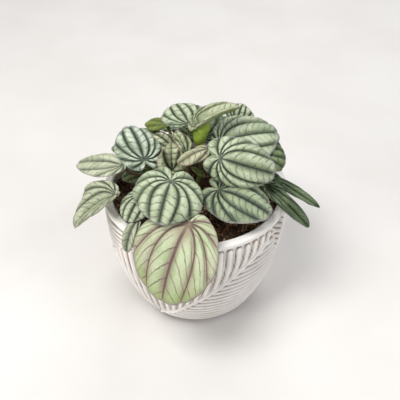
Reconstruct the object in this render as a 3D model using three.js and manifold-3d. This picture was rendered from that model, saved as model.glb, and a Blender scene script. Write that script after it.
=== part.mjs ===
// A potted peperomia: a rosette of silver-green, dark-veined leaves on fleshy petioles, planted
// in a white glazed bowl whose wall is wrapped in four large ribbed leaves in relief.
//
// Millimetres, +Z up. The origin is the centre of the pot's foot on the surface it stands on,
// and -Y is the front. An azimuth is counted from the front towards +X, in degrees.
import * as THREE from "three";
import { mergeVertices } from "three/addons/utils/BufferGeometryUtils.js";
import Module from "manifold-3d";

const wasm = await Module();
wasm.setup();

// Pot: a bowl whose radius grows from the foot to the rim by a power law.
const POT_HEIGHT = 110;
const RIM_RADIUS = 72; // the bare wall at the rim, under the relief
const FOOT_RADIUS = 44;
const BOWL_POWER = 2.44;
const WALL = 4;
const FLOOR = 7; // thickness of the pot's floor
const FOOT_RECESS = 2;
const FOOT_RING = 6; // width of the ring that the pot stands on
const COLLAR = 4.5; // height of the plain band under the rim
const COLLAR_OUT = 3; // how far it stands out of the bare wall
const POT_SIDES = 40; // a multiple of 40 puts corners at the ends of the leaves' right edges

// Relief on the pot: how far the midrib, the ribs and the grooves between them stand out of the
// wall, and the midrib's width.
const FRONT = { midrib: 3.7, crest: 3, groove: 1.5, width: 3 };
const BACK = { midrib: 4.6, crest: 2.3, groove: 1, width: 4.8 };
const MIDRIB_ROOM = 2.8; // from a back midrib's line to the ends of the ribs
const RIB_CLEAR = 2.9; // upwards or downwards from a front midrib's line to the ends of the ribs
const UPRIGHT_PITCH = 5.8; // degrees between the upright ribs above a front leaf's midrib
const LEVEL_PITCH = 5.2; // rise between the level ribs below it, and between the back leaves' ribs
const UPRIGHT_SWEEP = 3.5; // degrees by which an upright rib bends back where it joins the midrib
const RELIEF_BASE = 3; // height of the plain foot below the relief
const RELIEF_TOP = 103.6;
const EDGE_ROOM = 1; // degrees from a leaf's edge to the ends of the ribs

// A front leaf of the relief, as [azimuth, height] points: its midrib, its upper left edge up to
// the collar, and its right edge. A second one lies opposite.
const MIDRIB = [
  [-36, 6], [-17.5, 20], [-4, 38], [6, 50], [16.5, 63], [27, 76], [35.5, 84], [45, 91], [50, 94],
];
const UPPER_EDGE = [[-98, 3], [-85, 45], [-72, 65], [-53, 84], [-37, 91], [-20, 97], [0, RELIEF_TOP]];
const RIGHT_EDGE = [[81, RELIEF_BASE], [76, 25], [68, 50], [61, 73], [56, 96], [54, POT_HEIGHT - COLLAR]];

// A back leaf shows between a front leaf's right edge and the opposite leaf's upper edge. Its
// ribs run down to its midrib from both sides, by so many millimetres a degree.
const BACK_MIDRIB = [[81.5, 22], [82.5, 32], [86, 60], [90.5, 102]];
const BACK_FALL = 0.95;
const BACK_RISE = 0.22;

// Soil
const SOIL_LEVEL = 100;
const SOIL_MOUND = 4; // rise at the middle
const SOIL_BUMP = 0.9;
const SOIL_SIDES = 40;
const SOIL_GAP = 0.6; // clear of the pot's inner wall
const HOLE_DEPTH = 11;
const HOLE_GAP = 0.45;

// Leaves
const BLADE = 1.3; // thickness
const QUILT = 2.2; // how far a wide blade bulges between its veins
const NAVEL = 1.5; // how far the blade dips where the petiole joins
// Main veins on one side, as degrees from the tip at which each sets out and reaches the margin
const VEINS_WIDE = [[0, 0], [70, 14], [98, 42], [120, 76], [143, 116]];
const VEINS_NARROW = [[0, 0], [55, 24], [112, 84]];
const VEIN_BEND = 1.3; // how soon the veins turn from the first direction to the second
const RINGS = [0.42, 0.76, 1]; // from the joint to the margin
const RINGS_UNDER_FLARE = [0.72, 0.86, 1]; // on the underside, where the petiole opens wide
const SWELL = [[0, 0], [0.42, 0.7], [0.76, 1], [1, 0.4]]; // height of the bulges from joint to margin
const PETIOLE_SIDES = 6;
const PETIOLE_STEPS = 5;
const PETIOLE_TOP = 1.2; // radius under the blade
const PETIOLE_FOOT = 1.6; // radius at the soil
const BURIED = 9;

// What a leaf has unless its own row says otherwise. Angles are in degrees.
const LEAF_DEFAULTS = {
  roll: 0, // left side up
  along: 0, // how far the blade bends down from the joint to the tip
  across: 0, // how far each side bends down from the midrib to the margin
  fold: 0, // how steeply both sides are folded down at the midrib
  notch: 0.5, // depth of the notch between the lobes behind the joint, from 0 to 1
  taper: 0.06, // how much the outline is drawn in beside the tip, from 0 to 1
  narrow: false, // with three veins a side in place of five
  lean: 20, // how far the petiole leans back from square to the blade, away from the tip
  arch: 0.3, // how far the petiole keeps on in that direction, as a share of its length
  flare: 0, // how much wider the petiole is where it opens into the blade
};

// Each leaf: where its petiole joins the blade, where its tip is and where the petiole leaves the
// soil; the blade's width, and how far its lobes reach behind the joint.
const LEAVES = {
  front_large: {
    joint: [-5.5, -67.3, 127.3], tip: [-24, -91, 72.3], root: [-3, -26],
    width: 67.5, lobes: 12.5, roll: -10, along: 58, across: 6, notch: 0.6, lean: 50,
  },
  front_dark: {
    joint: [-43.5, -51, 117.5], tip: [-51, -65, 98], root: [-15, -26],
    width: 11, lobes: 4, along: 80, across: 20, notch: 0, narrow: true,
  },
  center_front: {
    joint: [-18, -48.2, 151.6], tip: [-26, -68.2, 128.6], root: [-8, -19],
    width: 57, lobes: 13, roll: -9, along: 50, across: 45,
  },
  left_front_small: {
    joint: [-42, -36, 127.5], tip: [-50.5, -52.5, 116.5], root: [-20, -19],
    width: 26, lobes: 6, along: 25, across: 30, notch: 0.4,
  },
  right_upper: {
    joint: [19.5, -26, 156.5], tip: [59.5, -31.5, 146.5], root: [9, -10],
    width: 40, lobes: 17, roll: 58, along: 40, across: 45,
  },
  right_lower: {
    joint: [19, -35, 133.5], tip: [56, -52, 122], root: [10, -20],
    width: 48, lobes: 15, roll: 4, along: 30, across: 30, notch: 0.6,
  },
  left_round: {
    joint: [-39, -17, 150], tip: [-52, 8, 161.5], root: [-19, -8],
    width: 39, lobes: 11, roll: 10, along: 25, across: 25, notch: 0.6,
  },
  left_outer: {
    joint: [-57, -10, 139], tip: [-93, 1, 131], root: [-24, -4],
    width: 32, lobes: 6, along: 20, across: 30,
  },
  left_low: {
    joint: [-62, -33.3, 127.2], tip: [-93, -41.3, 100], root: [-27, -13],
    width: 39, lobes: 7, roll: -5, along: 25, fold: -27, notch: 0.4, lean: 0, taper: 0.25,
  },
  left_under: {
    joint: [-36, 7, 121], tip: [-59, 2, 115], root: [-26, 4],
    width: 26, lobes: 5, along: 20, across: 20, notch: 0.35,
  },
  back_left_fan: {
    joint: [-5, 17, 159.5], tip: [-16.5, 37.5, 163], root: [-5, 9],
    width: 37, lobes: 4, along: 20, across: 10, notch: 0.2,
  },
  back_center_cup: {
    joint: [2.8, 6.7, 163], tip: [35, 23, 168.5], root: [4, 3],
    width: 26, lobes: 8.5, roll: -8, along: 20, across: -10, fold: -30, notch: 0.1, lean: 25, flare: 7,
  },
  back_right: {
    joint: [21, 10, 146], tip: [66, 22, 146], root: [12, 0],
    width: 54, lobes: 8, roll: 14, along: 30, across: 25,
  },
  right_curled: {
    joint: [52.5, 7, 140.5], tip: [71, 12.5, 130], root: [21, 4],
    width: 40, lobes: 4, roll: 15, along: 80, across: 25, notch: 0.4,
  },
  right_edge_far: {
    joint: [58, -12, 129], tip: [98.3, -27, 108.3], root: [26, -6],
    width: 15, lobes: 5, roll: 40, along: 15, fold: -40, notch: 0.3, taper: 0.3,
  },
  right_edge_near: {
    joint: [56, -23, 126], tip: [88, -42, 101], root: [22, -13],
    width: 22, lobes: 6, roll: 30, along: 15, fold: -40, notch: 0.3, taper: 0.26,
  },
  young_upright: {
    joint: [-18, -12, 136], tip: [-18, -8, 160], root: [-9, -8],
    width: 31, lobes: 3, along: -10, fold: -38, notch: 0.2, lean: 0, narrow: true,
  },
  young_left: {
    joint: [-29, -21, 133], tip: [-33, -15, 141], root: [-14, -13],
    width: 8, lobes: 3, along: 10, fold: -40, notch: 0, lean: 0, narrow: true,
  },
  rolled_center: {
    joint: [9.5, -15, 158], tip: [-13, -28, 151.5], root: [2, -8],
    width: 16, lobes: 3, along: 20, across: 50, notch: 0.2, narrow: true,
  },
  back_left_under: {
    joint: [-23, 31, 149], tip: [-40, 43, 142], root: [-12, 16],
    width: 22, lobes: 4, along: 30, across: 30, notch: 0.15, narrow: true,
  },
  striped_small: {
    joint: [-17, 6, 143], tip: [-33, 18, 147], root: [-11, 3],
    width: 20, lobes: 4, along: 20, across: 10, notch: 0.15, lean: 10, narrow: true,
  },
  striped_inner: {
    joint: [-7, -2, 145], tip: [-17, 10, 155], root: [-4, -4],
    width: 16, lobes: 3, along: 10, fold: -30, notch: 0.2, lean: 0, narrow: true,
  },
  young_center: {
    joint: [5, -19, 137], tip: [-4, -19, 142], root: [5, -15],
    width: 8, lobes: 3.5, along: 20, across: 20, notch: 0, lean: 0, narrow: true,
  },
  back_low_left: {
    joint: [-46, 32, 127], tip: [-66, 56, 112], root: [-21, 12],
    width: 36, lobes: 6, along: 40, across: 25,
  },
  back_low_center_left: {
    joint: [-19, 57, 128], tip: [-27, 97, 104], root: [-8, 23],
    width: 38, lobes: 7, along: 50, across: 20,
  },
  back_low_center_right: {
    joint: [18, 56, 129], tip: [22, 101.6, 102], root: [5, 24],
    width: 40, lobes: 7, along: 50, across: 20,
  },
  back_low_right: {
    joint: [44, 34, 126], tip: [66, 64, 110], root: [19, 14],
    width: 38, lobes: 6, along: 40, across: 20,
  },
  back_middle_left: {
    joint: [-30, 18, 138], tip: [-52, 42, 134], root: [-16, 9],
    width: 32, lobes: 6, along: 30, across: 25,
  },
  back_middle_center: {
    joint: [5, 27, 139.5], tip: [10, 64, 141.5], root: [0, 14],
    width: 42, lobes: 8, along: 20, across: 25,
  },
  back_middle_right: {
    joint: [34.5, 43, 145], tip: [39.5, 50, 156], root: [14, 14],
    width: 27, lobes: 5, along: 30, across: 25, notch: 0.3, lean: 0, arch: 0.45,
  },
};

const RAD = Math.PI / 180;

// A closed solid from points and triangles, as a manifold.
function solid(points, triangles) {
  const geometry = new THREE.BufferGeometry();
  geometry.setAttribute("position", new THREE.Float32BufferAttribute(points.flat(), 3));
  geometry.setIndex(triangles.flat());
  const merged = mergeVertices(geometry, 1e-4);
  return new wasm.Manifold(
    new wasm.Mesh({
      numProp: 3,
      vertProperties: new Float32Array(merged.attributes.position.array),
      triVerts: new Uint32Array(merged.index.array),
    }),
  );
}

// The same, turned inside out if its faces point inwards.
function outward(points, triangles) {
  const made = solid(points, triangles);
  return made.volume() > 0 ? made : solid(points, triangles.map(([a, b, c]) => [a, c, b]));
}

function geometryOf(manifold) {
  const mesh = manifold.getMesh();
  const geometry = new THREE.BufferGeometry();
  geometry.setAttribute("position", new THREE.BufferAttribute(new Float32Array(mesh.vertProperties), 3));
  geometry.setIndex(new THREE.BufferAttribute(new Uint32Array(mesh.triVerts), 1));
  geometry.computeVertexNormals();
  return geometry;
}

// Height at x on a path of [x, height] points, held level past its ends.
function across(path, x) {
  const points = path[0][0] < path[path.length - 1][0] ? path : [...path].reverse();
  if (x <= points[0][0]) return points[0][1];
  for (let i = 1; i < points.length; i++) {
    const [x0, y0] = points[i - 1];
    const [x1, y1] = points[i];
    if (x <= x1) return y0 + ((y1 - y0) * (x - x0)) / (x1 - x0);
  }
  return points[points.length - 1][1];
}

const flip = (path) => path.map(([a, b]) => [b, a]);

// A draw from 0 to 1 that is the same on every run.
function seeded(seed) {
  let state = seed;
  return () => {
    state = (state * 16807) % 2147483647;
    return state / 2147483647;
  };
}

// Radius of the bare outer wall at a height.
function wallRadius(z) {
  return RIM_RADIUS - (RIM_RADIUS - FOOT_RADIUS) * (1 - z / POT_HEIGHT) ** BOWL_POWER;
}

// A point that stands out of the bare wall by some distance.
function onWall([azimuth, z, out]) {
  const slope = wallRadius(z + 0.5) - wallRadius(z - 0.5);
  const radius = wallRadius(z) + out * Math.hypot(1, slope);
  return [radius * Math.sin(azimuth * RAD), -radius * Math.cos(azimuth * RAD), z];
}

function spread(from, to, steps) {
  return Array.from({ length: steps + 1 }, (_, i) => from + ((to - from) * i) / steps);
}

// Raised and sunken in turn, which makes the ribs.
const ribbed = ({ crest, groove }, i) => (i % 2 ? crest : groove);

// Points from one [azimuth, height] to another, at one offset.
function line([a0, z0], [a1, z1], out, steps) {
  return spread(0, 1, steps).map((t) => [a0 + t * (a1 - a0), z0 + t * (z1 - z0), out]);
}

// The upright ribs of a front leaf: one row of points for each crest and each groove.
function uprightRibs() {
  const from = UPPER_EDGE[0][0] + 5;
  const to = RIGHT_EDGE[4][0] - 3;
  return spread(from, to, Math.round((to - from) / (UPRIGHT_PITCH / 2))).map((a, i) => {
    const onMidrib = a - UPRIGHT_SWEEP > MIDRIB[0][0] - 4;
    const foot = onMidrib ? across(MIDRIB, a - UPRIGHT_SWEEP) + RIB_CLEAR : RELIEF_BASE + 1.5;
    const head = Math.max(across(UPPER_EDGE, a), foot + 2.5);
    return [0, 0.15, 0.45, 1].map((t) => {
      const swept = a - UPRIGHT_SWEEP * (1 - t) ** 3;
      return [swept, foot + t * (head - foot), ribbed(FRONT, i)];
    });
  });
}

function levelRibs() {
  const top = MIDRIB[MIDRIB.length - 1][1] - RIB_CLEAR;
  const from = RELIEF_BASE + 2;
  return spread(from, top, Math.round((top - from) / (LEVEL_PITCH / 2))).map((z, i) => {
    const start = across(flip(MIDRIB), z + RIB_CLEAR);
    const end = Math.max(across(flip(RIGHT_EDGE), z) - EDGE_ROOM, start + 1);
    return line([start, z], [end, z], ribbed(FRONT, i), 8);
  });
}

// The ribs of a back leaf on one side of its midrib: each is followed outwards from the midrib
// until it comes to a front leaf or to the collar.
function backRibs(side, steps) {
  const slope = side < 0 ? -BACK_FALL : BACK_RISE;
  const opposite = UPPER_EDGE.map(([a, z]) => [a + 180, z]);
  const stopped = (a, z) => {
    if (z > RELIEF_TOP - 0.5) return true;
    return side < 0 ? a < across(flip(RIGHT_EDGE), z) + EDGE_ROOM : z < across(opposite, a) + 1.5;
  };
  const [from, to] = [BACK_MIDRIB[0][1], BACK_MIDRIB[BACK_MIDRIB.length - 1][1]];
  return spread(from, to, Math.round((to - from) / (LEVEL_PITCH / 2))).map((z, i) => {
    const start = across(flip(BACK_MIDRIB), z) + (side * MIDRIB_ROOM) / (RAD * wallRadius(z));
    let a = start + side * 0.6;
    while (!stopped(a + side / 4, z + slope * (a - start))) a += side / 4;
    return line([start, z], [a, z + slope * (a - start)], ribbed(BACK, i), steps);
  });
}

function midribStrip(points, { midrib, groove, width }) {
  return points.map(([a, z], i) => {
    const [[a0, z0], [a1, z1]] = [points[Math.max(i - 1, 0)], points[Math.min(i + 1, points.length - 1)]];
    const degree = RAD * wallRadius(z);
    const heading = Math.atan2(z1 - z0, (a1 - a0) * degree);
    return [[-0.5, groove], [0, midrib], [0.5, groove]].map(([share, out]) => [
      a + (share * width * Math.sin(heading)) / degree,
      z - share * width * Math.cos(heading),
      out,
    ]);
  });
}

// Half the outer wall, from one front leaf's right edge to the other's. The ribs and midribs are
// nets of points, and the plain wall between the nets is filled in round them.
function halfWall() {
  const turned = (net) => net.map((row) => row.map(([a, z, out]) => [a + 180, z, out]));
  const nets = [
    backRibs(-1, 4),
    backRibs(1, 6),
    midribStrip(BACK_MIDRIB, BACK),
    turned(uprightRibs()),
    turned(levelRibs()),
    turned(midribStrip(MIDRIB, FRONT)),
  ];
  const points = [];
  const triangles = [];
  const rims = nets.map((net) => {
    const first = points.length;
    const wide = net[0].length;
    const high = net.length;
    points.push(...net.flat());
    for (let i = 0; i < high - 1; i++) {
      for (let j = 0; j < wide - 1; j++) {
        const a = first + i * wide + j;
        triangles.push([a, a + 1, a + wide + 1], [a, a + wide + 1, a + wide]);
      }
    }
    return [
      ...spread(0, wide - 2, wide - 2),
      ...spread(0, high - 2, high - 2).map((i) => i * wide + wide - 1),
      ...spread(0, wide - 2, wide - 2).map((j) => high * wide - 1 - j),
      ...spread(0, high - 2, high - 2).map((i) => (high - 1 - i) * wide),
    ].map((i) => first + i);
  });
  const start = points.length;
  const step = 360 / POT_SIDES;
  const [low, high] = [RIGHT_EDGE[0], RIGHT_EDGE[RIGHT_EDGE.length - 1]];
  const edge = RIGHT_EDGE.slice(1, -1);
  points.push(
    ...spread(low[0], low[0] + 180, 180 / step).map((a) => [a, low[1], 0]),
    ...edge.map(([a, z]) => [a + 180, z, BACK.crest]),
    ...spread(high[0] + 180, high[0], 180 / step).map((a) => [a, high[1], COLLAR_OUT - 0.3]),
    ...[...edge].reverse().map(([a, z]) => [a, z, BACK.crest]),
  );
  const outline = spread(start, points.length - 1, points.length - 1 - start);
  triangles.push(...fillBetween(points, [outline, ...rims]));
  return { points, triangles: triangles.map((face) => leftTurning(face, points)) };
}

// Twice the area of a triangle of [azimuth, height] points, positive when it turns left.
function turning([ax, ay], [bx, by], [cx, cy]) {
  return (bx - ax) * (cy - ay) - (by - ay) * (cx - ax);
}

// A triangle with its corners in the order that faces it out of the wall.
function leftTurning([a, b, c], points) {
  return turning(points[a], points[b], points[c]) > 0 ? [a, b, c] : [a, c, b];
}

// Triangles that fill the space inside the first loop and outside the others. Only the corners
// of the loops go to the triangulator; the points of their straight runs are put back after.
function fillBetween(points, loops) {
  const runs = new Map();
  const cornered = loops.map((loop) => {
    const near = (k) => [k - 1, k, (k + 1) % loop.length].map((i) => points[loop.at(i)]);
    const bends = (k) => Math.abs(turning(...near(k))) > 1e-3;
    const kept = loop.map((_, k) => k).filter(bends);
    kept.forEach((from, i) => {
      const to = kept[(i + 1) % kept.length];
      const wrapped = [...loop.slice(from + 1), ...loop.slice(0, to)];
      const between = from < to ? loop.slice(from + 1, to) : wrapped;
      runs.set(`${loop[from]},${loop[to]}`, between);
      runs.set(`${loop[to]},${loop[from]}`, [...between].reverse());
    });
    return kept.map((k) => loop[k]);
  });
  const flat = (loop) => loop.map((i) => new THREE.Vector2(points[i][0] * 1.2, points[i][1]));
  const order = cornered.flat();
  const faces = THREE.ShapeUtils.triangulateShape(flat(cornered[0]), cornered.slice(1).map(flat));
  const split = ([a, b, c]) => {
    for (const [from, to, apex] of [[a, b, c], [b, c, a], [c, a, b]]) {
      const between = runs.get(`${from},${to}`) ?? [];
      if (between.length) {
        const path = [from, ...between, to];
        return path.slice(1).flatMap((next, i) => split([path[i], next, apex]));
      }
    }
    return [[a, b, c]];
  };
  const whole = faces.flatMap((face) => split(face.map((i) => order[i])));
  return evened(whole.map((face) => leftTurning(face, points)), points);
}

// The same triangles with the side between two of them swapped wherever that makes both rounder,
// so that none reaches far round the pot.
function evened(triangles, points) {
  const faces = [...triangles];
  const spot = (i) => [points[i][0] * 1.2, points[i][1]];
  const within = (a, b, c, d) => {
    const [dx, dy] = spot(d);
    const rows = [a, b, c].map(spot).map(([x, y]) => [x - dx, y - dy, (x - dx) ** 2 + (y - dy) ** 2]);
    const [[p, q, r], [s, t, u], [v, w, x]] = rows;
    return p * (t * x - u * w) - q * (s * x - u * v) + r * (s * w - t * v) > 1e-6;
  };
  for (let swaps = 1; swaps > 0; ) {
    swaps = 0;
    const owner = new Map();
    faces.forEach((face, f) => {
      face.forEach((a, k) => owner.set(`${a},${face[(k + 1) % 3]}`, [f, face[(k + 2) % 3]]));
    });
    const done = new Set();
    for (const [side, [f, c]] of owner) {
      const [a, b] = side.split(",").map(Number);
      const [g, d] = owner.get(`${b},${a}`) ?? [];
      if (a > b || g === undefined || done.has(f) || done.has(g) || !within(a, b, c, d)) continue;
      faces[f] = [a, d, c];
      faces[g] = [d, b, c];
      done.add(f).add(g);
      swaps++;
    }
  }
  return faces;
}

function pot() {
  const inner = (z) => wallRadius(z) - WALL;
  const rim = wallRadius(POT_HEIGHT) + COLLAR_OUT;
  const base = RELIEF_BASE;
  const profile = [
    [onWall([90, POT_HEIGHT - COLLAR, COLLAR_OUT - 0.3])[0], POT_HEIGHT - COLLAR],
    [rim, POT_HEIGHT - 1.6],
    [rim - 1.4, POT_HEIGHT],
    [inner(POT_HEIGHT) + 1.4, POT_HEIGHT],
    ...[0.98, 0.7, 0.36, 0.16].map((t) => [inner(t * POT_HEIGHT), t * POT_HEIGHT]),
    [inner(FLOOR) - 4, FLOOR],
    [0, FLOOR],
    [0, FOOT_RECESS],
    [FOOT_RADIUS - FOOT_RING - 1.5, FOOT_RECESS],
    [FOOT_RADIUS - FOOT_RING, 0],
    [FOOT_RADIUS, 0],
    [wallRadius(base), base],
  ];
  const points = [];
  const triangles = [];
  for (const [radius, z] of profile) {
    for (const a of spread(0, 360, POT_SIDES).slice(1)) {
      points.push([radius * Math.sin(a * RAD), -radius * Math.cos(a * RAD), z]);
    }
  }
  for (let k = 0; k < profile.length - 1; k++) {
    for (let i = 0; i < POT_SIDES; i++) {
      const next = (i + 1) % POT_SIDES;
      const [a, b] = [k * POT_SIDES + i, k * POT_SIDES + next];
      const [c, d] = [b + POT_SIDES, a + POT_SIDES];
      if (profile[k][0] > 0) triangles.push([a, b, c]);
      if (profile[k + 1][0] > 0) triangles.push([a, c, d]);
    }
  }
  const wall = halfWall();
  for (const turn of [0, 180]) {
    const first = points.length;
    points.push(...wall.points.map(([a, z, out]) => onWall([a + turn, z, out])));
    triangles.push(...wall.triangles.map((face) => face.map((i) => first + i)));
  }
  return outward(points, triangles);
}

function soilHeight(x, y) {
  const share = Math.hypot(x, y) / (wallRadius(SOIL_LEVEL) - WALL - SOIL_GAP);
  return SOIL_LEVEL + SOIL_MOUND * (1 - share ** 2);
}

function soil(feet) {
  const draw = seeded(11);
  const inner = (z) => wallRadius(z) - WALL - SOIL_GAP;
  const points = [];
  const ring = (radius, height, bump) => {
    for (const turn of spread(0, 2 * Math.PI, SOIL_SIDES).slice(1)) {
      points.push([radius * Math.cos(turn), radius * Math.sin(turn), height + bump * (2 * draw() - 1)]);
    }
  };
  const base = FLOOR + SOIL_GAP;
  ring(inner(base) - 4.5, base, 0);
  for (const share of [0.16, 0.36, 0.7]) ring(inner(share * POT_HEIGHT), share * POT_HEIGHT, 0);
  ring(inner(SOIL_LEVEL), SOIL_LEVEL, 0);
  for (const share of [0.84, 0.66, 0.46, 0.26]) {
    ring(inner(SOIL_LEVEL) * share, SOIL_LEVEL + SOIL_MOUND * (1 - share ** 2), SOIL_BUMP);
  }
  const rings = points.length / SOIL_SIDES;
  points.push([0, 0, base], [0, 0, SOIL_LEVEL + SOIL_MOUND]);
  const [bottom, top] = [points.length - 2, points.length - 1];
  const triangles = [];
  for (let i = 0; i < SOIL_SIDES; i++) {
    const next = (i + 1) % SOIL_SIDES;
    for (let k = 0; k < rings - 1; k++) {
      const [a, b] = [k * SOIL_SIDES + i, k * SOIL_SIDES + next];
      triangles.push([a, b, b + SOIL_SIDES], [a, b + SOIL_SIDES, a + SOIL_SIDES]);
    }
    const last = (rings - 1) * SOIL_SIDES;
    triangles.push([bottom, next, i], [top, last + i, last + next]);
  }
  return feet.map(holeFor).reduce((left, hole) => left.subtract(hole), outward(points, triangles));
}

// A hole in the soil that clears a petiole's buried end all round.
function holeFor({ centre, ring }) {
  const wider = 1 + HOLE_GAP / (PETIOLE_FOOT * Math.cos(Math.PI / PETIOLE_SIDES));
  const outwards = (value, middle) => middle + (value - middle) * wider;
  const at = (z) => ring.map(([x, y]) => [outwards(x, centre.x), outwards(y, centre.y), z]);
  const points = [...at(centre.z - HOLE_DEPTH), ...at(centre.z + 4)];
  const triangles = [];
  for (let i = 0; i < PETIOLE_SIDES; i++) {
    const next = (i + 1) % PETIOLE_SIDES;
    triangles.push([i, next, next + PETIOLE_SIDES], [i, next + PETIOLE_SIDES, i + PETIOLE_SIDES]);
    if (i > 0 && i < PETIOLE_SIDES - 1) {
      triangles.push([0, i + 1, i], [PETIOLE_SIDES, PETIOLE_SIDES + i, PETIOLE_SIDES + i + 1]);
    }
  }
  return outward(points, triangles);
}

// The leaf's own directions at the joint: along it, to its left, and up out of its face. It is
// pitched up there by half its bend, so that the bent blade ends on its tip.
function leafFrame({ joint, tip, roll, along }) {
  const reach = new THREE.Vector3(...tip).sub(new THREE.Vector3(...joint));
  const ahead = reach.clone().normalize();
  const flatLeft = new THREE.Vector3(-ahead.y, ahead.x, 0).normalize();
  const flatUp = new THREE.Vector3().crossVectors(ahead, flatLeft);
  const left = flatLeft.multiplyScalar(Math.cos(roll * RAD)).addScaledVector(flatUp, Math.sin(roll * RAD));
  const half = (along * RAD) / 2;
  const level = new THREE.Vector3().crossVectors(ahead, left);
  const start = ahead.clone().multiplyScalar(Math.cos(half)).addScaledVector(level, Math.sin(half));
  const up = new THREE.Vector3().crossVectors(start, left);
  const length = Math.abs(half) < 1e-6 ? reach.length() : (reach.length() * half) / Math.sin(half);
  return { joint: new THREE.Vector3(...joint), start, left, up, length };
}

// Distance from the joint to the leaf's margin, at an angle from the tip.
function margin(leaf, length, angle) {
  const half = (length + leaf.lobes) / 2;
  const centre = half - leaf.lobes;
  const side = leaf.width / 2;
  const a = Math.cos(angle) ** 2 / half ** 2 + Math.sin(angle) ** 2 / side ** 2;
  const b = (-2 * centre * Math.cos(angle)) / half ** 2;
  const c = centre ** 2 / half ** 2 - 1;
  const oval = (-b + Math.sqrt(b * b - 4 * a * c)) / (2 * a);
  const turn = Math.abs(angle);
  const notch = 1 - leaf.notch * Math.exp(-(((Math.PI - turn) / 0.35) ** 2));
  const shoulder = 1 - leaf.taper * Math.exp(-(((turn - 0.5) / 0.3) ** 2));
  return oval * notch * shoulder;
}

// Where a point of the flat leaf, x along it and y to its left and lifted off its face, comes to
// lie once the leaf is folded and bent.
function bentPoint(leaf, frame, x, y, lift) {
  const kx = (leaf.along * RAD) / frame.length;
  const ky = (leaf.across * RAD) / (leaf.width / 2);
  const crease = Math.sign(y) * leaf.fold * RAD;
  const pitch = kx * x;
  const tilt = crease + ky * y;
  const ahead = Math.abs(kx) < 1e-6 ? x : Math.sin(pitch) / kx;
  const drop = Math.abs(kx) < 1e-6 ? 0 : (1 - Math.cos(pitch)) / kx;
  const flat = Math.abs(ky) < 1e-6;
  const sideways = flat ? y * Math.cos(crease) : (Math.sin(tilt) - Math.sin(crease)) / ky;
  const fall = flat ? y * Math.sin(crease) : (Math.cos(crease) - Math.cos(tilt)) / ky;
  const out = lift * Math.cos(tilt) - fall;
  return frame.joint
    .clone()
    .addScaledVector(frame.start, ahead + out * Math.sin(pitch))
    .addScaledVector(frame.left, sideways + lift * Math.sin(tilt))
    .addScaledVector(frame.up, out * Math.cos(pitch) - drop);
}

// The spokes of a blade: its veins and, between them, the tops of its bulges. Each leaves the
// joint in its first direction and comes to the margin in its last.
function spokesOf(leaf) {
  const veins = [...(leaf.narrow ? VEINS_NARROW : VEINS_WIDE), [180, 180]];
  const spoke = ([first, last], bulge) => ({ first: first * RAD, last: last * RAD, bulge });
  const left = veins.slice(0, -1).flatMap(([first, last], i) => [
    spoke([first, last], 0),
    spoke([(first + veins[i + 1][0]) / 2, (last + veins[i + 1][1]) / 2], 1),
  ]);
  const round = 2 * Math.PI;
  const right = left.slice(1).reverse().map(({ first, last, bulge }) => ({
    first: round - first, last: round - last, bulge,
  }));
  return [...left, spoke([180, 180], 0), ...right];
}

const ringsUnder = (leaf) => (leaf.flare > PETIOLE_TOP ? RINGS_UNDER_FLARE : RINGS);

// The petiole's rings, from the blade round to the soil and straight down into its hole.
function petioleRings(leaf, frame) {
  const top = bentPoint(leaf, frame, 0, 0, -BLADE);
  const foot = new THREE.Vector3(leaf.root[0], leaf.root[1], soilHeight(...leaf.root));
  const lean = leaf.lean * RAD;
  const away = frame.up.clone().multiplyScalar(-Math.cos(lean));
  away.addScaledVector(frame.start, -Math.sin(lean));
  const span = top.distanceTo(foot);
  const curve = new THREE.CubicBezierCurve3(
    top,
    top.clone().addScaledVector(away, leaf.arch * span),
    foot.clone().add(new THREE.Vector3(0, 0, 0.5 * span)),
    foot,
  );
  const down = new THREE.Vector3(0, 0, -1);
  const stations = spread(0, 1, PETIOLE_STEPS).map((t) => ({
    centre: curve.getPoint(t),
    axis: curve.getTangent(t),
    radius: THREE.MathUtils.lerp(PETIOLE_TOP, PETIOLE_FOOT, t) + leaf.flare * Math.max(0, 1 - 2.5 * t),
  }));
  stations[0].axis = frame.up.clone().negate();
  stations[PETIOLE_STEPS].axis = down;
  stations.push({ centre: foot.clone().addScaledVector(down, BURIED), axis: down, radius: PETIOLE_FOOT });
  let side = frame.start;
  let before = stations[0].axis;
  const rings = stations.map(({ centre, axis, radius }, k) => {
    side = side.clone().applyQuaternion(new THREE.Quaternion().setFromUnitVectors(before, axis));
    before = axis;
    const other = new THREE.Vector3().crossVectors(side, axis);
    return spread(0, 2 * Math.PI, PETIOLE_SIDES).slice(0, -1).map((turn) => {
      const reach = ringsUnder(leaf)[0] * margin(leaf, frame.length, Math.min(turn, 2 * Math.PI - turn));
      const out = k > 0 ? radius : Math.min(radius, 0.85 * reach); // keeps within the blade's first ring
      return centre
        .clone()
        .addScaledVector(side, out * Math.cos(turn))
        .addScaledVector(other, out * Math.sin(turn))
        .toArray();
    });
  });
  return { rings, foot: { centre: foot, ring: rings[PETIOLE_STEPS] } };
}

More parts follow.
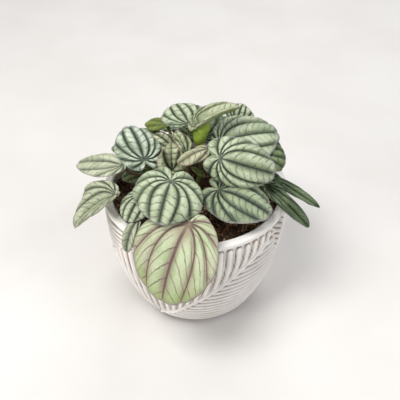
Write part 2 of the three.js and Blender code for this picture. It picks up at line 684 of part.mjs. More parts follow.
// A leaf in one piece: the blade's two faces and its edge, and the petiole out of its underside.
function leafBody(settings) {
  const leaf = { ...LEAF_DEFAULTS, ...settings };
  const frame = leafFrame(leaf);
  const spokes = spokesOf(leaf);
  const count = spokes.length;
  const quilt = QUILT * Math.min(1, leaf.width / 50);
  const face = (shares, lower) => shares.flatMap((share) => spokes.map((spoke) => {
    const angle = spoke.last + (spoke.first - spoke.last) * (1 - share) ** VEIN_BEND;
    const reach = share * margin(leaf, frame.length, Math.min(angle, 2 * Math.PI - angle));
    const dip = NAVEL * (1 - Math.exp(-((reach / 9) ** 2)));
    const lift = dip + quilt * spoke.bulge * across(SWELL, share) - lower;
    return bentPoint(leaf, frame, reach * Math.cos(angle), reach * Math.sin(angle), lift).toArray();
  }));
  const { rings, foot } = petioleRings(leaf, frame);
  const joint = bentPoint(leaf, frame, 0, 0, 0).toArray();
  const points = [joint, ...face(RINGS, 0), ...face(ringsUnder(leaf), BLADE), ...rings.flat()];
  const under = 1 + RINGS.length * count;
  const tube = under + RINGS.length * count;
  const edge = (RINGS.length - 1) * count;
  const nearest = (s) => Math.round(spokes[s].first / ((2 * Math.PI) / PETIOLE_SIDES)) % PETIOLE_SIDES;
  const triangles = [];
  for (let s = 0; s < count; s++) {
    const next = (s + 1) % count;
    triangles.push([0, 1 + s, 1 + next]);
    for (let ring = 0; ring < RINGS.length - 1; ring++) {
      const [a, b] = [ring * count + s, ring * count + next];
      const [c, d] = [b + count, a + count];
      triangles.push([1 + a, 1 + d, 1 + c], [1 + a, 1 + c, 1 + b]);
      triangles.push([under + a, under + c, under + d], [under + a, under + b, under + c]);
    }
    triangles.push([1 + edge + s, under + edge + s, under + edge + next]);
    triangles.push([1 + edge + s, under + edge + next, 1 + edge + next]);
    const [near, far] = [tube + nearest(s), tube + nearest(next)];
    triangles.push([under + s, near, under + next]);
    if (near !== far) triangles.push([under + next, near, far]);
  }
  const end = tube + (rings.length - 1) * PETIOLE_SIDES;
  for (let i = 0; i < PETIOLE_SIDES; i++) {
    const next = (i + 1) % PETIOLE_SIDES;
    for (let k = 0; k < rings.length - 1; k++) {
      const [a, b] = [tube + k * PETIOLE_SIDES + i, tube + k * PETIOLE_SIDES + next];
      triangles.push([a, a + PETIOLE_SIDES, b + PETIOLE_SIDES], [a, b + PETIOLE_SIDES, b]);
    }
    if (i > 0 && i < PETIOLE_SIDES - 1) triangles.push([end, end + i + 1, end + i]);
  }
  return { body: outward(points, triangles), foot };
}

const MATERIALS = {
  glaze: new THREE.MeshStandardMaterial({ color: 0xe9e4dd, roughness: 0.25, metalness: 0 }),
  soil: new THREE.MeshStandardMaterial({ color: 0x2a1a14, roughness: 0.95, metalness: 0 }),
  leaf: new THREE.MeshStandardMaterial({ color: 0x9db58f, roughness: 0.45, metalness: 0 }),
};

function node(name, manifold, material) {
  const mesh = new THREE.Mesh(geometryOf(manifold), material);
  mesh.name = name;
  return mesh;
}

const plant = new THREE.Group();
const leaves = Object.entries(LEAVES).map(([name, leaf]) => ({ name: `leaf_${name}`, ...leafBody(leaf) }));
plant.add(node("pot", pot(), MATERIALS.glaze));
plant.add(node("soil", soil(leaves.map(({ foot }) => foot)), MATERIALS.soil));
for (const { name, body } of leaves) plant.add(node(name, body, MATERIALS.leaf));

export default plant;
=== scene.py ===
# A potted peperomia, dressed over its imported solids: glazed bowl with relief leaves, peat soil
# with fibres and crumbs, and thirty fleshy leaves with sunken veins on smooth petioles.
import functools
import math
import random
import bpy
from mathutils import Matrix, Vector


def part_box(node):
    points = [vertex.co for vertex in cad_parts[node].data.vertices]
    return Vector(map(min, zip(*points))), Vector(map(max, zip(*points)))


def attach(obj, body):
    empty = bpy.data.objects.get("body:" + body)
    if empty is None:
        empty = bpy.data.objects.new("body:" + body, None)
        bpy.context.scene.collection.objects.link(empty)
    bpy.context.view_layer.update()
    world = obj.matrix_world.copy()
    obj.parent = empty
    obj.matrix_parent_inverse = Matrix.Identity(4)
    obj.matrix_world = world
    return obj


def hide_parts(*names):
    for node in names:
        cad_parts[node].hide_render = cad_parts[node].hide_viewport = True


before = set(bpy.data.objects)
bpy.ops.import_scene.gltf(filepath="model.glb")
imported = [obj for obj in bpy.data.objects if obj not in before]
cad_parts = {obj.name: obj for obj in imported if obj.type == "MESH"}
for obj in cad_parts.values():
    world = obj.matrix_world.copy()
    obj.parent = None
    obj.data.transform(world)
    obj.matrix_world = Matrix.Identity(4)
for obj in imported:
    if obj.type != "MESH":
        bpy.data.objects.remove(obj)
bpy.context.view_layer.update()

from types import SimpleNamespace
from typing import NamedTuple

import bpy
import numpy as np
from mathutils import Vector

MM = 0.001  # sizes below are in millimetres, and angles in degrees

# Camera: the photograph's view
CAMERA_ELEVATION = 39.6
CAMERA_DISTANCE = 600
CAMERA_TARGET = (3.6, 0, 94.9)
CAMERA_LENS = 65.5  # on a 36 mm sensor

# Pot. An azimuth is counted from the front, -Y, towards +X.
POT_HIGH = np.array(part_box("pot")[1]) / MM
POT_HEIGHT = POT_HIGH[2]
COLLAR = 4.5
COLLAR_OUT = 3
COLLAR_EDGE = 1.2  # radius of the collar's lower edge
LIP = 2.2  # and of the rim's two edges
RIM_RADIUS = POT_HIGH[1] - COLLAR_OUT
FOOT_RADIUS = 44
BOWL_POWER = 2.44
WALL = 4
FLOOR = 7
FOOT_RECESS = 2
FOOT_RING = 6
RELIEF_BASE = 3
RELIEF_TOP = 103.6
RELIEF_FADE = 2.5  # height over which the relief comes out of the wall
COLLAR_BLEND = 1.6  # and over which it runs into the collar
INNER_RINGS = (0.95, 0.88, 0.7, 0.5, 0.3, 0.16)  # as shares of the pot's height
POT_AROUND = 540
POT_UP = 150

# Relief: how far the midrib, the ribs and the grooves between them stand out of the wall, and
# how wide the midrib is
FRONT = SimpleNamespace(midrib=3.9, crest=3.5, groove=0.8, width=3.2)
BACK = SimpleNamespace(midrib=4.8, crest=2.7, groove=0.5, width=4.6)
HEM = 0.8  # how much further the leaf's margin stands out
RIB_CLEAR = 2.4  # from the midrib to the foot of an upright rib
RIB_SHORTEST = 2.5
UPRIGHT_STEP = 2.92  # degrees from a groove to the next crest
UPRIGHT_FROM = -93
UPRIGHT_SWEEP = 3.5  # degrees by which an upright rib's foot leans
UPRIGHT_HALF = 0.68  # half a rib's width, as a share of the step
CREASE_HALF = 0.24  # half the width of the dark crease beside it, as such a share
HEAD_HEIGHT = 2.8
LEVEL_STEP = 2.588  # height from a groove to the next crest
LEVEL_FROM = 5
BACK_STEP = 2.58
BACK_FALL = 0.95  # rise of a rib for each degree away from the midrib, to the left
BACK_RISE = 0.22  # and to the right

# Lines on the wall, as azimuths and heights
MIDRIB = [(-36, 6), (-17.5, 20), (-4, 38), (6, 50), (16.5, 63), (27, 76), (35.5, 84), (45, 91),
          (50, 94)]
UPPER_EDGE = [(-98, 3), (-85, 45), (-72, 65), (-53, 84), (-37, 91), (-20, 97), (0, RELIEF_TOP)]
RIGHT_EDGE = [(81, 3), (76, 25), (68, 50), (61, 73), (56, 96), (54, 105.5)]
BACK_MIDRIB = [(81.5, 22), (82.5, 32), (86, 60), (90.5, 102)]

# Soil
SOIL_LEVEL = 100
SOIL_MOUND = 4
SOIL_GAP = 0.6
SOIL_LUMPS = ((3, 11, 0.7), (4, 3.6, 0.45))  # seed, size and height
SOIL_BANK = 0.5  # how much higher it stands against the wall,
SOIL_BANK_WIDE = 4  # and over what width
SOIL_HEEL = 4  # how far its lowest ring is drawn in
SOIL_RINGS = 84
SOIL_AROUND = 220
SOIL_DEPTHS = (0.86, 0.7, 0.5, 0.3, 0.16, 0.07)  # its lower rings, as shares of the pot's height
CRUMBS = 2600
FIBRES = 620
FIBRE_STEPS = 8

# Leaves
BLADE = 1.2  # thickness at the middle
QUILT = 4.0  # how far the widest bulges between the veins rise
QUILT_STEEPNESS = 0.36  # rise of a narrow bulge, as a share of its width
QUILT_SINK = 0.35  # share of the rise by which the veins sink in turn
NAVEL = 1.5  # how far the blade dips where the petiole joins
NAVEL_REACH = 9
VEINS_WIDE = [(0, 0), (70, 14), (98, 42), (120, 76), (143, 116)]  # at the joint, at the margin
VEINS_NARROW = [(0, 0), (55, 24), (112, 84)]
VEIN_BEND = 1.3  # how soon the veins turn from the first direction to the second
BRANCH_BEND = 0.035  # how soon a side vein turns further forward
BRANCH_SINK = 0.26  # how deep it cuts into the bulge, as a share of the rise
NOTCH_HALF = 0.35  # half the notch at the joint, in radians
SHOULDER_AT = 0.5  # how far from the tip the hollow beside it lies, in radians
SHOULDER_HALF = 0.3
MARGIN_WAVE = 0.02  # how far the margin stands out between the veins, as a share of the reach
MARGIN_CURL = 0.5  # how far it turns down
NO_VEIN = 9.0  # distance that stands for no vein
LARGE_FROM = 30  # width from which a leaf gets the finer mesh
LARGE_MESH = (8, 42)  # spokes to a bulge, and rings
SMALL_MESH = (7, 24)
PETIOLE_SIDES = 18
PETIOLE_STEPS = 26
PETIOLE_TOP = 1.25
PETIOLE_FOOT = 1.6
FILLET = 0.7  # how much wider the petiole is where it meets the blade
NECK_MOST = 0.65  # share of the way to the margin that the joint takes at most
PETIOLE_MOST = 0.6  # and the petiole's first rings
PETIOLE_DROP = 0.25  # how far its first ring is below the blade
BURIED = 6


class Leaf(NamedTuple):
    joint: tuple  # where the petiole meets the blade
    tip: tuple
    root: tuple  # where the petiole enters the soil
    width: float
    lobes: float  # how far the blade reaches behind the joint
    roll: float = 0  # its turn about its length
    along: float = 0  # its bend along its length
    across: float = 0  # and across it
    fold: float = 0  # how far each half is turned about the midrib
    notch: float = 0.5  # depth of the notch at the joint, as a share
    taper: float = 0.06  # and of the hollows beside the tip
    narrow: bool = False
    lean: float = 20  # how far the petiole's top leans back
    arch: float = 0.3  # and how far it runs on that way, as a share of its span
    flare: float = 0  # how much wider it is there
    style: str = "silver"


# Each leaf as in the solids, with its colouring
LEAVES = {
    "front_large": Leaf((-5.5, -67.3, 127.3), (-24, -91, 72.3), (-3, -26), 67.5, 12.5, style="mint",
        roll=-10, along=58, across=6, notch=0.6, lean=50),
    "front_dark": Leaf((-43.5, -51, 117.5), (-51, -65, 98), (-15, -26), 11, 4, style="pale",
        along=80, across=20, notch=0, narrow=True),
    "center_front": Leaf((-18, -48.2, 151.6), (-26, -68.2, 128.6), (-8, -19), 57, 13, roll=-9,
        along=50, across=45),
    "left_front_small": Leaf((-42, -36, 127.5), (-50.5, -52.5, 116.5), (-20, -19), 26, 6, along=25,
        across=30, notch=0.4),
    "right_upper": Leaf((19.5, -26, 156.5), (59.5, -31.5, 146.5), (9, -10), 40, 17, roll=58,
        along=40, across=45),
    "right_lower": Leaf((19, -35, 133.5), (56, -52, 122), (10, -20), 48, 15, style="shaded_silver", roll=4,
        along=30, across=30, notch=0.6),
    "left_round": Leaf((-39, -17, 150), (-52, 8, 161.5), (-19, -8), 39, 11, style="striped",
        roll=10, along=25, across=25, notch=0.6),
    "left_outer": Leaf((-57, -10, 139), (-93, 1, 131), (-24, -4), 32, 6, style="pale_bright",
        along=20, across=30),
    "left_low": Leaf((-62, -33.3, 127.2), (-93, -41.3, 100), (-27, -13), 39, 7, style="pale",
        roll=-5, along=25, fold=-27, notch=0.4, lean=0, taper=0.25),
    "left_under": Leaf((-36, 7, 121), (-59, 2, 115), (-26, 4), 26, 5, style="green", along=20,
        across=20, notch=0.35),
    "back_left_fan": Leaf((-5, 17, 159.5), (-16.5, 37.5, 163), (-5, 9), 37, 4, along=20, across=10,
        notch=0.2),
    "back_center_cup": Leaf((2.8, 6.7, 163), (35, 23, 168.5), (4, 3), 26, 8.5, style="cup", roll=-8,
        along=20, across=-10, fold=-30, notch=0.1, lean=25, flare=7),
    "back_right": Leaf((21, 10, 146), (66, 22, 146), (12, 0), 54, 8, roll=14, along=30, across=25),
    "right_curled": Leaf((52.5, 7, 140.5), (71, 12.5, 130), (21, 4), 40, 4, style="green", roll=15,
        along=80, across=25, notch=0.4),
    "right_edge_far": Leaf((58, -12, 129), (98.3, -27, 108.3), (26, -6), 15, 5, style="deep",
        roll=40, along=15, fold=-40, notch=0.3, taper=0.3),
    "right_edge_near": Leaf((56, -23, 126), (88, -42, 101), (22, -13), 22, 6, style="deep", roll=30,
        along=15, fold=-40, notch=0.3, taper=0.26),
    "young_upright": Leaf((-18, -12, 136), (-18, -8, 160), (-9, -8), 31, 3, style="young",
        along=-10, fold=-38, notch=0.2, lean=0, narrow=True),
    "young_left": Leaf((-29, -21, 133), (-33, -15, 141), (-14, -13), 8, 3, style="young", along=10,
        fold=-40, notch=0, lean=0, narrow=True),
    "rolled_center": Leaf((9.5, -15, 158), (-13, -28, 151.5), (2, -8), 16, 3, style="rolled",
        along=20, across=50, notch=0.2, narrow=True),
    "back_left_under": Leaf((-23, 31, 149), (-40, 43, 142), (-12, 16), 22, 4, style="lime",
        along=30, across=30, notch=0.15, narrow=True),
    "striped_small": Leaf((-17, 6, 143), (-33, 18, 147), (-11, 3), 20, 4, style="young", along=20,
        across=10, notch=0.15, lean=10, narrow=True),
    "striped_inner": Leaf((-7, -2, 145), (-17, 10, 155), (-4, -4), 16, 3, style="young", along=10,
        fold=-30, notch=0.2, lean=0, narrow=True),
    "young_center": Leaf((5, -19, 137), (-4, -19, 142), (5, -15), 8, 3.5, style="lime", along=20,
        across=20, notch=0, lean=0, narrow=True),
    "back_low_left": Leaf((-46, 32, 127), (-66, 56, 112), (-21, 12), 36, 6, style="green", along=40,
        across=25),
    "back_low_center_left": Leaf((-19, 57, 128), (-27, 97, 104), (-8, 23), 38, 7, along=50,
        across=20),
    "back_low_center_right": Leaf((18, 56, 129), (22, 101.6, 102), (5, 24), 40, 7, style="deep",
        along=50, across=20),
    "back_low_right": Leaf((44, 34, 126), (66, 64, 110), (19, 14), 38, 6, along=40, across=20),
    "back_middle_left": Leaf((-30, 18, 138), (-52, 42, 134), (-16, 9), 32, 6, along=30, across=25),
    "back_middle_center": Leaf((5, 27, 139.5), (10, 64, 141.5), (0, 14), 42, 8, style="deep",
        along=20, across=25),
    "back_middle_right": Leaf((34.5, 43, 145), (39.5, 50, 156), (14, 14), 27, 5, along=30,
        across=25, notch=0.3, lean=0, arch=0.45),
}


class Style(NamedTuple):
    light: str  # tops of the bulges, lighter partly by painted light
    mid: str  # their flanks
    groove: str  # grooves at the veins, also the colour of the painted shade on the flanks
    vein: str
    margin: str
    under: str = "8A9C66"  # underside
    stalk: str = "6F7A46"  # petiole below the blade
    foot: str = "5A4034"  # and at the soil
    vein_wide: float = 1.3  # width of the veins at the joint
    vein_thin: float = 0.5  # and at the margin
    shade: float = 1.0  # how dark the painted shade on the flanks is
    halo: float = 3.4  # and how far out from the veins it reaches
    quilt: float = 1  # height of the bulges
    pitch: float = 5  # from a side vein to the next
    slope: float = 0.25  # how far side veins run forward for each millimetre outwards
    waver: float = 0.14  # and how much they sway
    heart: float = 0.3  # how dark the blade is at the joint


STYLES = {
    "silver": Style("BCC6A8", "909E7D", "46523F", "2B3424", "8E918B", vein_wide=1.4,
        vein_thin=0.6, halo=4.0),
    "striped": Style("C6D1BC", "86957B", "3A473A", "263024", "8B938C", vein_wide=1.6,
        vein_thin=0.7, halo=5.0),
    # The silver colours darkened as painted shade for right_lower, which lies in the shade of
    # right_upper.
    "shaded_silver": Style("A4B08E", "77866A", "39443A", "262F24", "94908A", vein_wide=1.5,
        vein_thin=0.6, halo=4.6),
    # Dark green, partly the leaves' own colour and partly painted shade for the leaves at the right
    # edge and at the back, seen in shadowed gaps.
    "deep": Style("728460", "46573A", "2A3826", "1F2A1C", "5E6A4E", under="5E7240",
        stalk="66703E"),
    "green": Style("7D8C60", "566A40", "36442C", "2A3822", "74815A", under="66793E",
        stalk="6E7840", vein_wide=1.2, shade=0.95),
    # A darker copy of the pale_bright colours: painted shade on left_low, while front_dark has it as
    # its own colour.
    "pale": Style("B9BEA2", "949C7E", "566050", "414A3C", "928F82", under="9CA468",
        stalk="5C4E34", foot="46352A", vein_wide=1.0, shade=0.95, quilt=0.8),
    "pale_bright": Style("CDD2B6", "A9B194", "626C5A", "4A5344", "9C998C", under="9CA468",
        stalk="5C4E34", foot="46352A", vein_wide=1.0, shade=0.9, quilt=0.8),
    "mint": Style("BCCBA4", "A3B487", "8C786E", "5F4A41", "9A9686", under="9AAC78",
        stalk="6E3A2A", foot="5A3326", vein_wide=2.2, vein_thin=1.1, quilt=0.6, pitch=12, slope=0.8,
        halo=9.5, waver=0.07, heart=0),
    "cup": Style("B5BD9B", "969F7C", "5E6A46", "46523A", "A89C84", under="86A03E",
        stalk="8AA23A", foot="4A4A2C", vein_wide=1.0, shade=0.9, quilt=0.8),
    "lime": Style("7C8A3C", "687630", "4E5C28", "455420", "747F40", under="6E8030",
        stalk="6A7832", foot="4A4428", vein_wide=0.8, vein_thin=0.4, shade=0.6, quilt=0.6),
    "rolled": Style("BAB998", "97977A", "5C5C44", "46463A", "967F6C", under="A09C70",
        stalk="7C8048", foot="5E4838", vein_wide=1.0, shade=0.9, quilt=0.9),
    "young": Style("C3C8A6", "909A74", "333D28", "252E1D", "94876E", under="8E965C",
        stalk="8A9048", foot="6A5038", vein_thin=0.6, halo=3.2),
}

BLADE_FLESH = (0.0012, 0.002, 0.0008)  # how far light spreads in a blade, in metres
STALK_FLESH = (0.002, 0.0012, 0.0006)  # and in a petiole

# Each light: place and size in metres, power in watts, and tint
LIGHTS = {
    "key": ((-0.4, -0.4, 1.2), (0.5, 0.5), 11.5, (1, 0.985, 0.96)),
    "fill": ((0.75, -0.5, 0.95), (0.7, 0.7), 4.8, (0.96, 0.97, 1)),
    "left": ((-0.95, -0.75, 0.5), (0.5, 0.5), 4.6, (1, 0.98, 0.95)),
    "back": ((0.25, 0.9, 1.0), (0.9, 0.6), 6, (1, 1, 1)),
}
SKY = (0.88, 0.89, 0.92, 1)
SKY_STRENGTH = 0.33
FLOOR_SIZE = 4.0  # the floor, in metres: how far it goes each way,
FLOOR_BACK = 1.2  # where it starts to curve up,
FLOOR_CURVE = 1.0  # and the curve's radius


# Meshes

def colour(code):
    """A linear RGBA colour from a hexadecimal sRGB code."""
    parts = [part / 255 for part in bytes.fromhex(code)]
    return [((c + 0.055) / 1.055) ** 2.4 if c > 0.04045 else c / 12.92 for c in parts] + [1]


def across(path, at):
    """Second coordinate on a path of points at values of its first one, level past its ends."""
    points = sorted(path)
    return np.interp(at, [p[0] for p in points], [p[1] for p in points])


def flip(path):
    return [(b, a) for a, b in path]


def smooth(low, high, value):
    """0 below low, 1 above high, and a soft step between."""
    t = np.clip((value - low) / (high - low), 0, 1)
    return t * t * (3 - 2 * t)


def grid_faces(rows, columns, first=0):
    """Quads between neighbouring rows of a grid whose columns close on themselves."""
    row, column = (part.ravel() for part in np.indices((rows - 1, columns)))
    here = first + row * columns
    after = (column + 1) % columns
    corners = [here + column, here + after, here + columns + after, here + columns + column]
    return np.stack(corners, 1)


def add_object(name, data):
    thing = bpy.data.objects.new(name, data)
    bpy.context.scene.collection.objects.link(thing)
    return thing


def mesh_piece(name, points, face_sets, materials, node):
    """An object from points in millimetres and sets of faces, each a (faces, material) pair."""
    faces = []
    looks = []
    for group, look in face_sets:
        faces.extend(group.tolist() if isinstance(group, np.ndarray) else group)
        looks.extend([look] * len(group))
    mesh = bpy.data.meshes.new(name)
    mesh.from_pydata((np.asarray(points) * MM).tolist(), [], faces)
    for material in materials:
        mesh.materials.append(material)
    mesh.polygons.foreach_set("material_index", looks)
    mesh.polygons.foreach_set("use_smooth", [True] * len(faces))
    mesh.update()
    piece = add_object(name, mesh)
    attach(piece, "root")
    if node:
        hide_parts(node)
    return piece


def add_attribute(piece, name, values, domain="POINT"):
    """Stores a number or a vector on each point or each face corner."""
    values = np.asarray(values, float)
    kind = "FLOAT" if values.ndim == 1 else "FLOAT_VECTOR"
    layer = piece.data.attributes.new(name, kind, domain)
    layer.data.foreach_set("value" if kind == "FLOAT" else "vector", values.ravel())


# Materials

class Nodes:
    """A short way to write a material's node tree."""

    def __init__(self, name):
        self.material = bpy.data.materials.new(name)
        self.material.use_nodes = True
        self.tree = self.material.node_tree
        self.shader = self.tree.nodes["Principled BSDF"]

    def plug(self, socket, value):
        """Links a socket, or sets it to a number, a vector or a colour's code."""
        if isinstance(value, bpy.types.NodeSocket):
            self.tree.links.new(value, socket)
        else:
            socket.default_value = colour(value) if isinstance(value, str) else value

    def new(self, kind, **values):
        """A node with some of its inputs plugged."""
        node = self.tree.nodes.new("ShaderNode" + kind)
        for name, value in values.items():
            self.plug(node.inputs[name], value)
        return node

    def attribute(self, name, output="Fac"):
        node = self.new("Attribute")
        node.attribute_name = name
        return node.outputs[output]

    def channels(self, name):
        return self.new("SeparateXYZ", Vector=self.attribute(name, "Vector")).outputs

    def place(self):
        return self.new("TexCoord").outputs["Object"]

    def noise(self, scale, detail=3, rough=0.5, stretch=None):
        """Noise with features of about 1/scale millimetres, around 0.5."""
        where = self.place()
        if stretch:
            where = self.new("Mapping", Vector=where, Scale=stretch).outputs[0]
        node = self.new("TexNoise", Vector=where, Scale=scale / MM, Detail=detail, Roughness=rough)
        return node.outputs["Fac"]

    def cells(self, scale):
        """Small rounded cells, scale of them to a millimetre: 0 at their borders."""
        node = self.new("TexVoronoi", Vector=self.place(), Scale=scale / MM)
        node.feature = "DISTANCE_TO_EDGE"
        return node.outputs["Distance"]

    def math(self, operation, a, b=0.0):
        node = self.new("Math")
        node.operation = operation
        self.plug(node.inputs[0], a)
        self.plug(node.inputs[1], b)
        return node.outputs[0]

    def add(self, a, b):
        return self.math("ADD", a, b)

    def less(self, a, b):
        return self.math("SUBTRACT", a, b)

    def times(self, a, b):
        return self.math("MULTIPLY", a, b)

    def ramp(self, value, low, high, start=0.0, end=1.0, soft=True):
        """start below low, end above high, and a smooth change between."""
        inputs = {"Value": value, "From Min": low, "From Max": high, "To Min": start, "To Max": end}
        node = self.new("MapRange", **inputs)
        node.interpolation_type = "SMOOTHSTEP" if soft else "LINEAR"
        return node.outputs[0]

    def mix(self, factor, a, b):
        """Colour a where the factor is 0, and b where it is 1."""
        node = self.new("Mix")
        node.data_type = "RGBA"
        self.plug(node.inputs[0], factor)
        self.plug(node.inputs[6], a)
        self.plug(node.inputs[7], b)
        return node.outputs[2]

    def bump(self, height, distance, strength=1.0):
        node = self.new("Bump", Height=height, Distance=distance * MM, Strength=strength)
        self.plug(self.shader.inputs["Normal"], node.outputs[0])

    def finish(self, base, rough, shine, **others):
        """Sets the shader's sockets. The others have underscores for spaces in their names."""
        values = dict(Base_Color=base, Roughness=rough, Specular_IOR_Level=shine, **others)
        for name, value in values.items():
            self.plug(self.shader.inputs[name.replace("_", " ")], value)
        return self.material


def flesh(weight, radius):
    """Sockets that let light spread under the surface."""
    return dict(Subsurface_Weight=weight, Subsurface_Radius=radius, Subsurface_Scale=0.5)


def leaf_top(style):
    """The upper face: silvery bulges whose crowns are lighter and flanks darker, partly the leaf's
    own colour and partly painted light and shade; dark sunken veins, thin side veins and a dull
    margin.
    """
    look = STYLES[style]
    mid, groove, vein = look.mid, look.groove, look.vein
    large_front = style == "mint"
    n = Nodes(f"leaf_{style}_top")
    near_vein, branch, crown = n.channels("rib")
    spot = n.channels("spot")
    along, share = spot[0], spot[2]

    # Bulges: lighter on the crowns, partly the leaf's own silver and partly painted light, with
    # patches, grain and grey blotches on the lower flanks
    patches = n.ramp(n.noise(0.06, 3), 0.35, 0.65, -0.3, 0.2)
    grain = n.noise(1.1, 4, rough=0.7)
    level = n.add(crown, n.add(patches, n.ramp(grain, 0.3, 0.7, -0.22, 0.22)))
    base = n.mix(n.ramp(level, 0.45, 1.0), mid, look.light)
    base = n.mix(n.ramp(grain, 0.5, 0.75, 0.0, 0.45), base, mid)
    blotch = n.ramp(n.noise(0.11, 3), 0.5, 0.7, 0.0, 0.4)
    base = n.mix(n.times(blotch, n.ramp(crown, 0.3, 0.95, 1.0, 0.3)), base, groove)

    # Flanks: painted shade, darker towards the veins and away from the crowns, over the leaf's own
    # darker colour along the veins
    halo = look.halo
    distance = n.add(near_vein, n.ramp(n.noise(0.3, 2), 0.2, 0.8, -0.6, 0.6, soft=False))
    flank_shade = n.ramp(crown, 0.0, 0.9, 1.0, 0.0)
    band = n.ramp(distance, halo * 0.08, halo, look.shade, 0.0)
    base = n.mix(n.times(flank_shade, band), base, groove)
    if large_front:
        base = n.mix(n.ramp(n.noise(0.05, 2), 0.35, 0.65, 0.0, 0.5), base, "B9B39C")
        base = n.mix(n.ramp(share, 0.04, 0.3, 0.75, 0.0), base, "94826E")
        fresh = n.times(n.ramp(along, 25, 55), n.ramp(share, 0.72, 0.97, 0.0, 0.6))
        base = n.mix(fresh, base, "8FA84C")

    # Side veins, where the branch coordinate is a whole number
    sway = look.waver
    waver = n.add(branch, n.ramp(n.noise(0.3, 2), 0.2, 0.8, -sway, sway, soft=False))
    fold = n.math("ABSOLUTE", n.less(n.math("FRACT", waver), 0.5))
    line_half = 0.5 - 0.4 / look.pitch
    side = n.ramp(fold, line_half - 0.35 / look.pitch, line_half + 0.25 / look.pitch)
    grown = n.ramp(share, 0.12, 0.3)
    side = n.times(n.times(side, n.ramp(n.noise(0.14, 2), 0.36, 0.6, 0.2, 0.6)), grown)
    if large_front:
        base = n.mix(n.times(n.ramp(fold, 0.36, 0.5, 0.0, 0.6), grown), base, groove)
    base = n.mix(side, base, vein if large_front else groove)

    # The dark heart at the joint, the veins and the margin
    base = n.mix(n.ramp(share, 0.02, 0.2, look.heart, 0.0), base, groove)
    half = n.ramp(share, 0.0, 1.0, look.vein_wide / 2, look.vein_thin / 2, soft=False)
    line = n.ramp(n.less(near_vein, half), -0.2, 0.4, 0.9, 0.0)
    base = n.mix(n.times(line, n.ramp(share, 0.0, 0.12, 0.6, 1.0)), base, vein)
    base = n.mix(n.ramp(share, 0.92, 0.99, 0.0, 0.8), base, look.margin)

    wrinkle = n.add(n.noise(0.55, 3), n.times(n.cells(0.42), 0.5))
    n.bump(n.less(n.add(wrinkle, n.times(grain, 0.4)), side), 0.6)
    gloss = n.ramp(n.noise(0.5, 2), 0.3, 0.7, 0.38, 0.5)
    return n.finish(base, gloss, 0.45, **flesh(0.08, BLADE_FLESH))


def leaf_under(style):
    """The underside: plain green with paler raised veins."""
    look = STYLES[style]
    n = Nodes(f"leaf_{style}_under")
    near_vein = n.channels("rib")[0]
    share = n.channels("spot")[2]
    base = n.mix(n.ramp(n.noise(0.1, 3), 0.35, 0.65), look.under, look.mid)
    half = n.ramp(share, 0.0, 1.0, 0.9, 0.3, soft=False)
    line = n.ramp(n.less(near_vein, half), 0.0, 0.6, 0.55, 0.0)
    base = n.mix(line, base, look.light)
    base = n.mix(n.ramp(share, 0.94, 1.0, 0.0, 0.6), base, look.margin)
    n.bump(n.noise(1.2, 3), 0.1, 0.5)
    return n.finish(base, 0.5, 0.4, **flesh(0.15, BLADE_FLESH))


def leaf_stalk(style):
    """The petiole: the blade's tint at the top, redder and speckled towards the soil."""
    look = STYLES[style]
    foot = look.foot
    n = Nodes(f"leaf_{style}_stalk")
    base = n.mix(n.ramp(n.attribute("down"), 0.12, 0.7), look.stalk, foot)
    speckle = n.ramp(n.noise(1.4, 2, stretch=(1, 1, 0.3)), 0.55, 0.7, 0.0, 0.5)
    base = n.mix(speckle, base, foot)
    n.bump(n.noise(0.9, 2, stretch=(1, 1, 0.25)), 0.12, 0.5)
    return n.finish(base, 0.38, 0.5, **flesh(0.15, STALK_FLESH))


@functools.cache
def material(maker, style):
    """One material for each kind of surface and style."""
    return maker(style)


def glaze():
    """White glaze with painted shade: greyer on the rib flanks and dark in the creases, with a faint
    ochre stain low in the relief.
    """
    n = Nodes("glaze")
    relief = n.attribute("relief")
    base = n.mix(n.ramp(n.noise(0.03, 3), 0.35, 0.65), "F8F5F1", "F0EBE6")
    uneven = n.ramp(n.noise(0.1, 3), 0.3, 0.7, 0.55, 1.0)
    # Painted shade: the rib flanks are greyed towards the grooves.
    flank_shade = n.ramp(relief, 0.1, 1.1, 0.95, 0.0)
    base = n.mix(n.times(flank_shade, uneven), base, "ACA099")
    # Painted shade: the creases are darkened to stand for their shadow.
    crease = n.ramp(relief, 0.0, 0.6, 1.0, 0.0)
    base = n.mix(n.times(crease, uneven), base, "574D47")
    low = n.ramp(relief, 0.1, 0.7, 0.4, 0.0)
    base = n.mix(n.times(n.ramp(n.noise(0.045, 3), 0.56, 0.68), low), base, "C9A77E")
    base = n.mix(n.ramp(n.noise(0.9, 1), 0.72, 0.76, 0.0, 0.35), base, "B9AFA5")
    n.bump(n.add(n.noise(0.12, 2), n.times(n.noise(1.0, 2), 0.1)), 0.25, 0.5)
    gloss = n.ramp(n.noise(0.06, 2), 0.3, 0.7, 0.34, 0.48)
    return n.finish(base, gloss, 0.45, Coat_Weight=0.15, Coat_Roughness=0.25)


def bare_clay():
    """The unglazed ring that the pot stands on."""
    n = Nodes("bare_clay")
    base = n.mix(n.ramp(n.noise(0.6, 4), 0.35, 0.65), "D9CDBE", "C7B8A6")
    n.bump(n.noise(2.2, 3), 0.15, 0.8)
    return n.finish(base, 0.85, 0.3)


def earth():
    n = Nodes("earth")
    base = n.mix(n.ramp(n.noise(0.35, 5), 0.35, 0.65), "2C1E17", "55402F")
    base = n.mix(n.ramp(n.noise(1.1, 3), 0.55, 0.7, 0.0, 0.7), base, "7A5A42")
    n.bump(n.add(n.noise(0.6, 4), n.noise(2.4, 3)), 0.7)
    damp = n.ramp(n.noise(0.4, 2), 0.3, 0.7, 0.7, 0.95)
    return n.finish(base, damp, 0.3)


